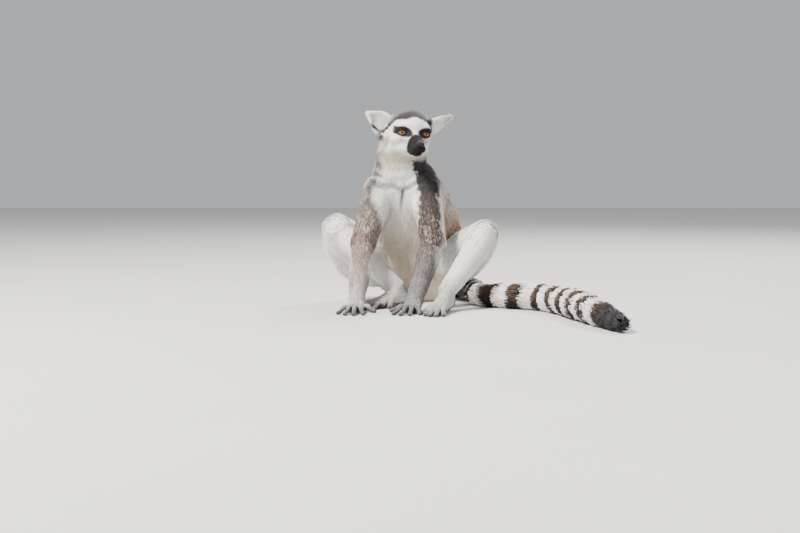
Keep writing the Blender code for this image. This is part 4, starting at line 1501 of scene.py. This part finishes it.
# ---------------------------------------------------------------- the coat
# Of each body part: the tufts' length and width at its start and end, and how dense they are.
LOOKS = {
    "trunk": ((0.024, 0.022), (0.0017, 0.0016), 1.0),
    "neck": ((0.019, 0.015), (0.0014, 0.0012), 1.3),
    "upper": ((0.017, 0.015), (0.0014, 0.0013), 1.35),
    "fore": ((0.014, 0.008), (0.0012, 0.0009), 1.6),
    "thigh": ((0.020, 0.019), (0.0016, 0.0015), 1.0),
    "shank": ((0.015, 0.007), (0.0013, 0.0009), 1.4),
    "tail": ((0.022, 0.028), (0.0014, 0.0017), 1.2),
    "hand": ((0.0065, 0.0045), (0.0008, 0.0007), 2.2),
    "foot": ((0.0070, 0.0045), (0.0009, 0.0007), 2.0),
}


def eye_margin(key, heads):
    """How far, in degrees seen from the eye, a point is inside the lids' opening."""
    far, ahead, _, upper, lower = lids(key, *heads.T)
    return np.where((ahead > 0) & (far < 0.014), np.minimum(upper, lower), -90.0)


def looks(points, normals, region, coat):
    """Length, rise over the skin, width and density of the tufts at points of the skin."""
    length, rise = np.zeros(len(points)), np.array(coat) * 0.92
    width, density = np.full(len(points), 0.001), np.ones(len(points))
    for number, name in enumerate(REGIONS):
        here = region == number
        part = name.partition("_")[0]
        if not here.any() or part not in LOOKS:
            continue
        lengths, widths, thick = LOOKS[part]
        _, run, share = TUBES[name].progress(points[here])
        length[here] = lengths[0] + (lengths[1] - lengths[0]) * share
        width[here] = widths[0] + (widths[1] - widths[0]) * share
        density[here] = thick
        if part in ("thigh", "shank"):
            knee = blend(0.75, 1.0, share) if part == "thigh" else blend(0.20, 0.0, share)
            length[here] *= 1 - 0.30 * knee
            rise[here] *= 1 - 0.35 * knee
            outwards = 0.5 * SIGN[name[-1]] * normals[here, 0]
            hang = blend(-0.1, 0.6, -normals[here, 2] + outwards)
            shag = hang * (1 - knee) * (1.0 if name[-1] == "R" else 0.5)
            if part == "shank":
                shag *= blend(0.75, 0.35, share)
                length[here] *= 1 - 0.30 * blend(0.75, 1.0, share)
            length[here] *= 1 + 0.25 * shag
            rise[here] *= 1 + 0.35 * shag
        if part == "upper":
            rise[here] *= 1 - 0.25 * blend(0.30, 0.0, share)
        if part == "tail":
            rise[here] = TAIL_COAT * 0.95
            length[here] *= blend(-0.02, 0.06, run) * 0.5 + 0.5
            length[here] *= 1 - 0.40 * blend(0.94, 1.0, share)
        if part in ("hand", "foot"):
            gap, along = digit_gap(name[-1], part, points[here])
            bare = blend(0.0030, 0.0010, gap) * blend(0.02, 0.30, along)
            rise[here] = 0.0011 - 0.0005 * bare
            density[here] = thick * (1 - bare) * blend(-0.5, 0.1, normals[here, 2])
            length[here] *= 1 - 0.35 * bare
    heads = to_head(points)
    is_head = region == NUMBER["head"]
    h = heads[is_head]
    back = blend(-0.004, 0.022, h[:, 1])
    cheek = back * blend(0.004, -0.012, h[:, 2]) * blend(0.008, 0.020, np.abs(h[:, 0]))
    snout = blend(-0.008, -0.016, h[:, 1])
    nape = blend(0.020, 0.046, h[:, 1] - 0.7 * np.minimum(h[:, 2], 0))
    length[is_head] = 0.0036 + 0.0042 * back + 0.0045 * cheek + 0.0075 * nape - 0.0020 * snout
    rise[is_head] = 0.0011 + 0.0026 * back + 0.0028 * cheek + 0.0015 * nape - 0.0006 * snout
    width[is_head] = 0.00068 + 0.00040 * back + 0.0002 * cheek - 0.00012 * snout
    density[is_head] = 4.2 - 2.2 * back
    shut = (np.abs(h[:, 2] - lip_height(h[:, 1])) < 0.0011) & (h[:, 1] < -0.008)
    wet = ((h - np.array(NOSE_CENTRE)) ** 2).sum(1) < 0.0078**2
    opening = np.maximum(eye_margin("L", h), eye_margin("R", h))
    lid = blend(-24, -10, opening)
    length[is_head] *= 1 - 0.62 * lid
    rise[is_head] *= 1 - 0.62 * lid
    width[is_head] *= 1 - 0.25 * lid
    folded = chest_lines(points, normals, FOLD_HOLLOW)
    length *= 1 - 0.55 * folded
    rise *= 1 - 0.35 * folded - 0.35 * chest_lines(points, normals)
    density *= 1 + 1.2 * folded
    density[is_head] *= (1 - (opening > -3.5)) * (1 - shut) * (1 - wet) * (1 - 0.5 * snout)
    for key in "LR":
        here = region == NUMBER[f"ear_{key}"]
        along, across, _ = ear_place(key, heads[here])
        rim = np.maximum(blend(0.62, 0.95, np.abs(across)), blend(0.75, 1.0, along))
        tuft = 0.0030 if key == "L" else 0.001
        length[here] = 0.0050 + 0.0030 * rim + tuft * blend(0.8, 1.0, along)
        rise[here] = 0.0014 + 0.0012 * rim
        width[here] = 0.0007 + 0.0002 * rim
        density[here] = 2.6 + 1.5 * rim
    return length, rise, width, density


class Unwrap:
    """A flat chart of each body part's skin, set side by side in one square."""

    def __init__(self, names, points, normals, region):
        self.corner, sizes = {}, {}
        for name in names:
            here = region == NUMBER[name]
            flat = self.flat(name, points[here], normals[here])
            sizes[name] = (flat.min(0), np.ptp(flat, axis=0))
        order = sorted(names, key=lambda name: -sizes[name][1][1])
        total = sum(np.prod(size) for _, size in sizes.values())
        self.scale = 0.98 / math.sqrt(total)
        while not self.fits(order, sizes):
            self.scale *= 0.97

    def fits(self, order, sizes):
        gap = 0.012  # between charts and round the square
        x, y, row = gap, gap, 0.0
        for name in order:
            low, size = sizes[name]
            wide, high = size * self.scale
            if x + wide + gap > 1:
                x, y, row = gap, y + row + gap, 0.0
            if x + wide + gap > 1 or y + high + gap > 1:
                return False
            self.corner[name] = (np.array((x, y)), low)
            x, row = x + wide + gap, max(row, high)
        return True

    def flat(self, name, points, normals):
        """Lengths on the skin, in metres: round a part and along it."""
        part, _, key = name.partition("_")
        if part == "head":
            off = to_head(points) - np.array((0, 0.016, -0.004))
            tall = np.arcsin(np.clip(off[:, 2] / np.linalg.norm(off, axis=1), -1, 1))
            return np.stack([np.arctan2(off[:, 0], -off[:, 1]) * 0.032, tall * 0.034], 1)
        if part == "ear":
            along, across, _ = ear_place(key, to_head(points))
            front = (normals @ HEAD_TURN)[:, 1] < 0
            return np.stack([across * EAR_HALF_WIDTH + 0.05 * front, along * EAR_LENGTH], 1)
        tube = TUBES[name]
        index, along, x, y = tube.locate(points)
        run = tube.run[index] + along
        mean = np.sqrt(tube.width * tube.depth).mean() - tube.coat.mean()
        across = np.arctan2(y, x) * mean
        if name == "tail":  # a long part: four strips side by side
            strip = np.clip((run / tube.run[-1] * 4).astype(int), 0, 3)
            across, run = across + strip * 7.2 * mean, run - strip * tube.run[-1] / 4
        return np.stack([across, run], 1)

    def place(self, name, points, normals):
        corner, low = self.corner[name]
        return corner + (self.flat(name, points, normals) - low) * self.scale


# A tuft is a closed spindle: its root (0), three points round its middle (1 to 3) and its tip
# (4). It has four faces over it and two under it. Those two have corners of their own (5 to 8)
# at the same places, so that they shade on their own.
TUFT_FACES = np.array(((2, 3, 0), (3, 1, 0), (4, 3, 2), (4, 1, 3), (6, 7, 5), (8, 7, 6)))
TUFT_POINTS = (0, 1, 2, 3, 4, 0, 1, 2, 4)
LOCK_MIX = np.array([[12.99, 7.3, 3.1], [78.2, 11.4, 5.7], [37.7, 91.1, 23.9]])  # scrambles cells
PATCH = 0.003  # the width of a tuft's patch on the coat's map
ROOT_DEPTH = 0.0009
STICK_OUT, STICK_OUT_HEIGHT = 0.10, 1.15  # the share of tufts whose tips stand out, and how high


def grow(name, names, count, slot, half=0):
    """A coat piece: tufts rooted on the skin of the named parts."""
    numbers = [NUMBER[n] for n in names]
    faces = SKIN_FACES[np.isin(SKIN_REGION[SKIN_FACES[:, 0]], numbers)]
    if half:  # only what faces forwards, or backwards
        faces = faces[(SKIN_NORMALS[faces[:, 0]] @ FACING > 0) == (half > 0)]
    length, rise, width, density = LOOK
    low = blend(0.004, 0.0005, SKIN[:, 2]) * (SKIN_NORMALS[:, 2] < -0.3)
    shown = density * (1 - 0.9 * low)
    a, b, c = (SKIN[faces[:, k]] for k in range(3))
    area = np.linalg.norm(np.cross(b - a, c - a), axis=1)
    chance = area * shown[faces].mean(1)
    rows = np.searchsorted(np.cumsum(chance) / chance.sum(), CHANCE.random(count))
    rows = faces[np.minimum(rows, len(faces) - 1)]
    u, v = CHANCE.random(count), CHANCE.random(count)
    over = u + v > 1
    u, v = np.where(over, 1 - u, u), np.where(over, 1 - v, v)
    share = np.stack([1 - u - v, u, v], 1)

    def at(values):
        picked = values[rows]
        return (picked * (share[..., None] if picked.ndim == 3 else share)).sum(1)

    root, normal, flow = at(SKIN), unit(at(SKIN_NORMALS)), at(SKIN_FLOW)
    region = SKIN_REGION[rows[:, 0]]
    long, tall, wide = at(length), at(rise), at(width)
    keep = at(shown) > 0.05
    root, normal, flow, region, long, tall, wide = (
        v[keep] for v in (root, normal, flow, region, long, tall, wide)
    )
    count = len(root)
    flow = unit(flow - (flow * normal).sum(1)[:, None] * normal)
    side = np.cross(flow, normal)
    furry = np.clip(long / 0.015, 0.35, 1.15)
    sway = 0.17 * waves(root, 0.016, 21) + 0.16 * waves(root, 0.006, 22)
    sway = furry * sway + CHANCE.normal(0, 0.11, count)
    flow, side = (
        flow * np.cos(sway)[:, None] + side * np.sin(sway)[:, None],
        side * np.cos(sway)[:, None] - flow * np.sin(sway)[:, None],
    )
    long = long * CHANCE.uniform(0.68, 1.12, count)
    wide = wide * CHANCE.uniform(0.7, 1.2, count)
    tuft = 0.5 + 0.5 * waves(root, 0.009, 23)
    tall = tall * np.clip(0.62 + 0.30 * tuft + CHANCE.normal(0, 0.10, count), 0.35, 1.12)
    reach = np.sqrt(np.maximum(long**2 - tall**2, (0.5 * long) ** 2))
    stand = at(SKIN_STAND)[keep]
    reach, tall = reach * (1 - 0.75 * stand), tall + 0.30 * stand * long
    # tips lean together into locks
    lock = np.clip(long * 0.34, 0.0012, 0.0060)
    cell = np.floor(root / lock[:, None] + 0.5)
    jitter = np.sin(cell @ LOCK_MIX) * 43758.5
    jitter -= np.floor(jitter)
    goal = (cell + 0.35 * (jitter - 0.5)) * lock[:, None]
    lean = ((goal - root) * side).sum(1) * 0.62
    middle = root + flow * (0.46 * reach)[:, None] + normal * (0.88 * tall)[:, None]
    middle += side * (0.35 * lean)[:, None]
    out = CHANCE.random(count) < STICK_OUT
    raised = tall * np.where(out, STICK_OUT_HEIGHT, CHANCE.uniform(0.45, 0.98, count))
    raised += stand * (tall - raised)
    tip = root + flow * reach[:, None] + normal * raised[:, None] + side * lean[:, None]
    wide = 0.5 * wide[:, None]
    ring = [middle - side * wide, middle + side * wide, middle + normal * wide * 0.8]
    points = np.stack([root - normal * ROOT_DEPTH, *ring, tip], 1)
    points[..., 2] = np.maximum(points[..., 2], 0.0001)
    points = points[:, TUFT_POINTS]
    soft = normal * 0.80
    bend = [soft, soft - side * 0.60, soft + side * 0.60, soft + normal * 0.3, soft + flow * 0.45]
    root_side, tip_side = (
        unit(np.cross(points[:, b] - points[:, a], points[:, c] - points[:, a]))
        for a, b, c in TUFT_FACES[4:]
    )
    below = unit(root_side + tip_side)
    bend += [root_side, below - side * 0.5, below + side * 0.5, tip_side]
    normals = unit(np.stack(bend, 1))[:, TUFT_FACES]
    seen = root + flow * (0.42 * reach)[:, None]  # the middle of what shows of the tuft
    parts = at(SKIN_SHARE)[keep]
    colour = markings(seen, normal, parts)
    bright = colour.mean(1)
    spread = np.where(bright > 0.45, 0.065, np.where(bright > 0.12, 0.20, 0.12))
    colour = colour * (1 + spread * CHANCE.normal(0, 1, count))[:, None]
    grizzle = (CHANCE.random(count) < 0.16) & (bright > 0.16) & (bright < 0.45)
    colour[grizzle] = mix(colour[grizzle], PALE, 0.40)
    mottle = arm_mottle(seen, parts)
    kind = 0.45 * CHANCE.random(count) + 0.55 * jitter[:, 0]
    colour = mix(colour, (0.060, 0.045, 0.042), 0.85 * mottle * (kind < 0.32))
    colour = mix(colour, (0.62, 0.54, 0.47), 0.50 * mottle * (kind > 0.70))
    rooted = 0.70 + 0.20 * blend(0.35, 0.7, bright)  # white hairs are pale down to the root
    half_way, plain = 0.5 + 0.5 * rooted, np.ones(count)
    shades = np.stack([rooted, half_way, half_way, 0.98 * plain, 1.05 * plain], 1)
    shades = (shades ** np.clip(long / 0.012, 0.25, 1.0)[:, None])[:, TUFT_POINTS]
    paint = colour[:, None] * shades[..., None]
    # Painted shade: the tufts are darkened along the chest's folds.
    for k in (1, 2, 3, 4, 6, 7, 8):  # all but the roots
        fold_shade = 0.92 * chest_lines(points[:, k], normal)
        paint[:, k] = mix(paint[:, k], (0.055, 0.048, 0.050), fold_shade)
    unwrap = Unwrap(names, SKIN, SKIN_NORMALS, SKIN_REGION)
    spot = np.zeros((count, 2))
    for n in names:
        here = region == NUMBER[n]
        spot[here] = unwrap.place(n, root[here], normal[here])
    shape = np.array(((0, -1), (-1, 0), (1, 0), (0, 0.3), (0, 1)))
    uv = np.clip(spot, PATCH, 1 - PATCH)[:, None] + shape[None, TUFT_POINTS] * (PATCH / 2)
    firsts = np.arange(count) * len(TUFT_POINTS)
    faces = (TUFT_FACES + firsts[:, None, None]).reshape(-1, 3)
    piece = new_piece(
        name,
        points.reshape(-1, 3),
        even_faces(faces),
        paint.reshape(-1, 3),
        uv.reshape(-1, 2)[faces.ravel()],
        normals,
    )
    piece.data.materials.append(COAT_MATERIAL)


COAT_MATERIAL = coat_material()
LOOK = looks(SKIN, SKIN_NORMALS, SKIN_REGION, SKIN_COAT)
COAT = (
    ("coat_back", ("trunk",), 27_000, "coat_grey_brown", -1),
    ("coat_front", ("trunk",), 19_000, "coat_white", 1),
    ("coat_neck", ("neck",), 19_500, "coat_white"),
    ("coat_arm_left", ("upper_L", "fore_L", "hand_L"), 26_000, "coat_grey_brown"),
    ("coat_arm_right", ("upper_R", "fore_R", "hand_R"), 26_000, "coat_grey_brown"),
    ("coat_leg_left", ("thigh_L", "shank_L", "foot_L"), 30_500, "coat_white"),
    ("coat_leg_right", ("thigh_R", "shank_R", "foot_R"), 32_500, "coat_white"),
    ("coat_tail", ("tail",), 30_000, "coat_ringed"),
    ("coat_head", ("head",), 32_500, "coat_white"),
    ("coat_ears", ("ear_L", "ear_R"), 9_500, "coat_white"),
)
for facts in COAT:
    grow(*facts)


# ---------------------------------------------------------------- floor, light and camera
def studio():
    working = bmesh.new()
    bmesh.ops.create_grid(working, x_segments=1, y_segments=1, size=6)
    mesh = bpy.data.meshes.new("floor")
    working.to_mesh(mesh)
    working.free()
    floor = add_object("floor", mesh)
    floor.location = (0, 0, -0.0002)
    shader = Shader("pale floor")
    shader.two_tone(3.0, 2.0, (0.66, 0.655, 0.645), (0.69, 0.685, 0.675))
    shader.set(Roughness=0.7)
    mesh.materials.append(shader.material)
    world = bpy.data.worlds.new("studio")
    world.use_nodes = True
    sky = world.node_tree.nodes["Background"].inputs
    sky["Color"].default_value, sky["Strength"].default_value = (0.90, 0.92, 0.95, 1), 0.55
    bpy.context.scene.world = world
    for name, place, size, power, colour in (
        ("key", (-1.25, -1.35, 2.1), 0.6, 200, (1.0, 0.965, 0.91)),
        ("fill", (1.9, -1.3, 1.0), 1.6, 12, (0.93, 0.96, 1.0)),
        ("rim", (1.0, 1.4, 1.9), 0.9, 65, (1.0, 0.98, 0.95)),
    ):
        light = bpy.data.lights.new(name, "AREA")
        light.size, light.energy, light.color = size, power, colour
        lamp = add_object(name, light)
        lamp.location = place
        aim = Vector((0, -0.08, 0.12)) - Vector(place)
        lamp.rotation_euler = aim.to_track_quat("-Z", "Y").to_euler()


CAMERA_AT, CAMERA_DOWN, CAMERA_LENS = (-0.0322, -2.14, 0.2006), 3.93, 60  # metres, degrees, mm


def camera():
    data = bpy.data.cameras.new("camera")
    data.lens, data.sensor_width = CAMERA_LENS, 36
    seer = add_object("camera", data)
    seer.location = CAMERA_AT
    seer.rotation_euler = (math.radians(90 - CAMERA_DOWN), 0, 0)
    bpy.context.scene.camera = seer


studio()
camera()
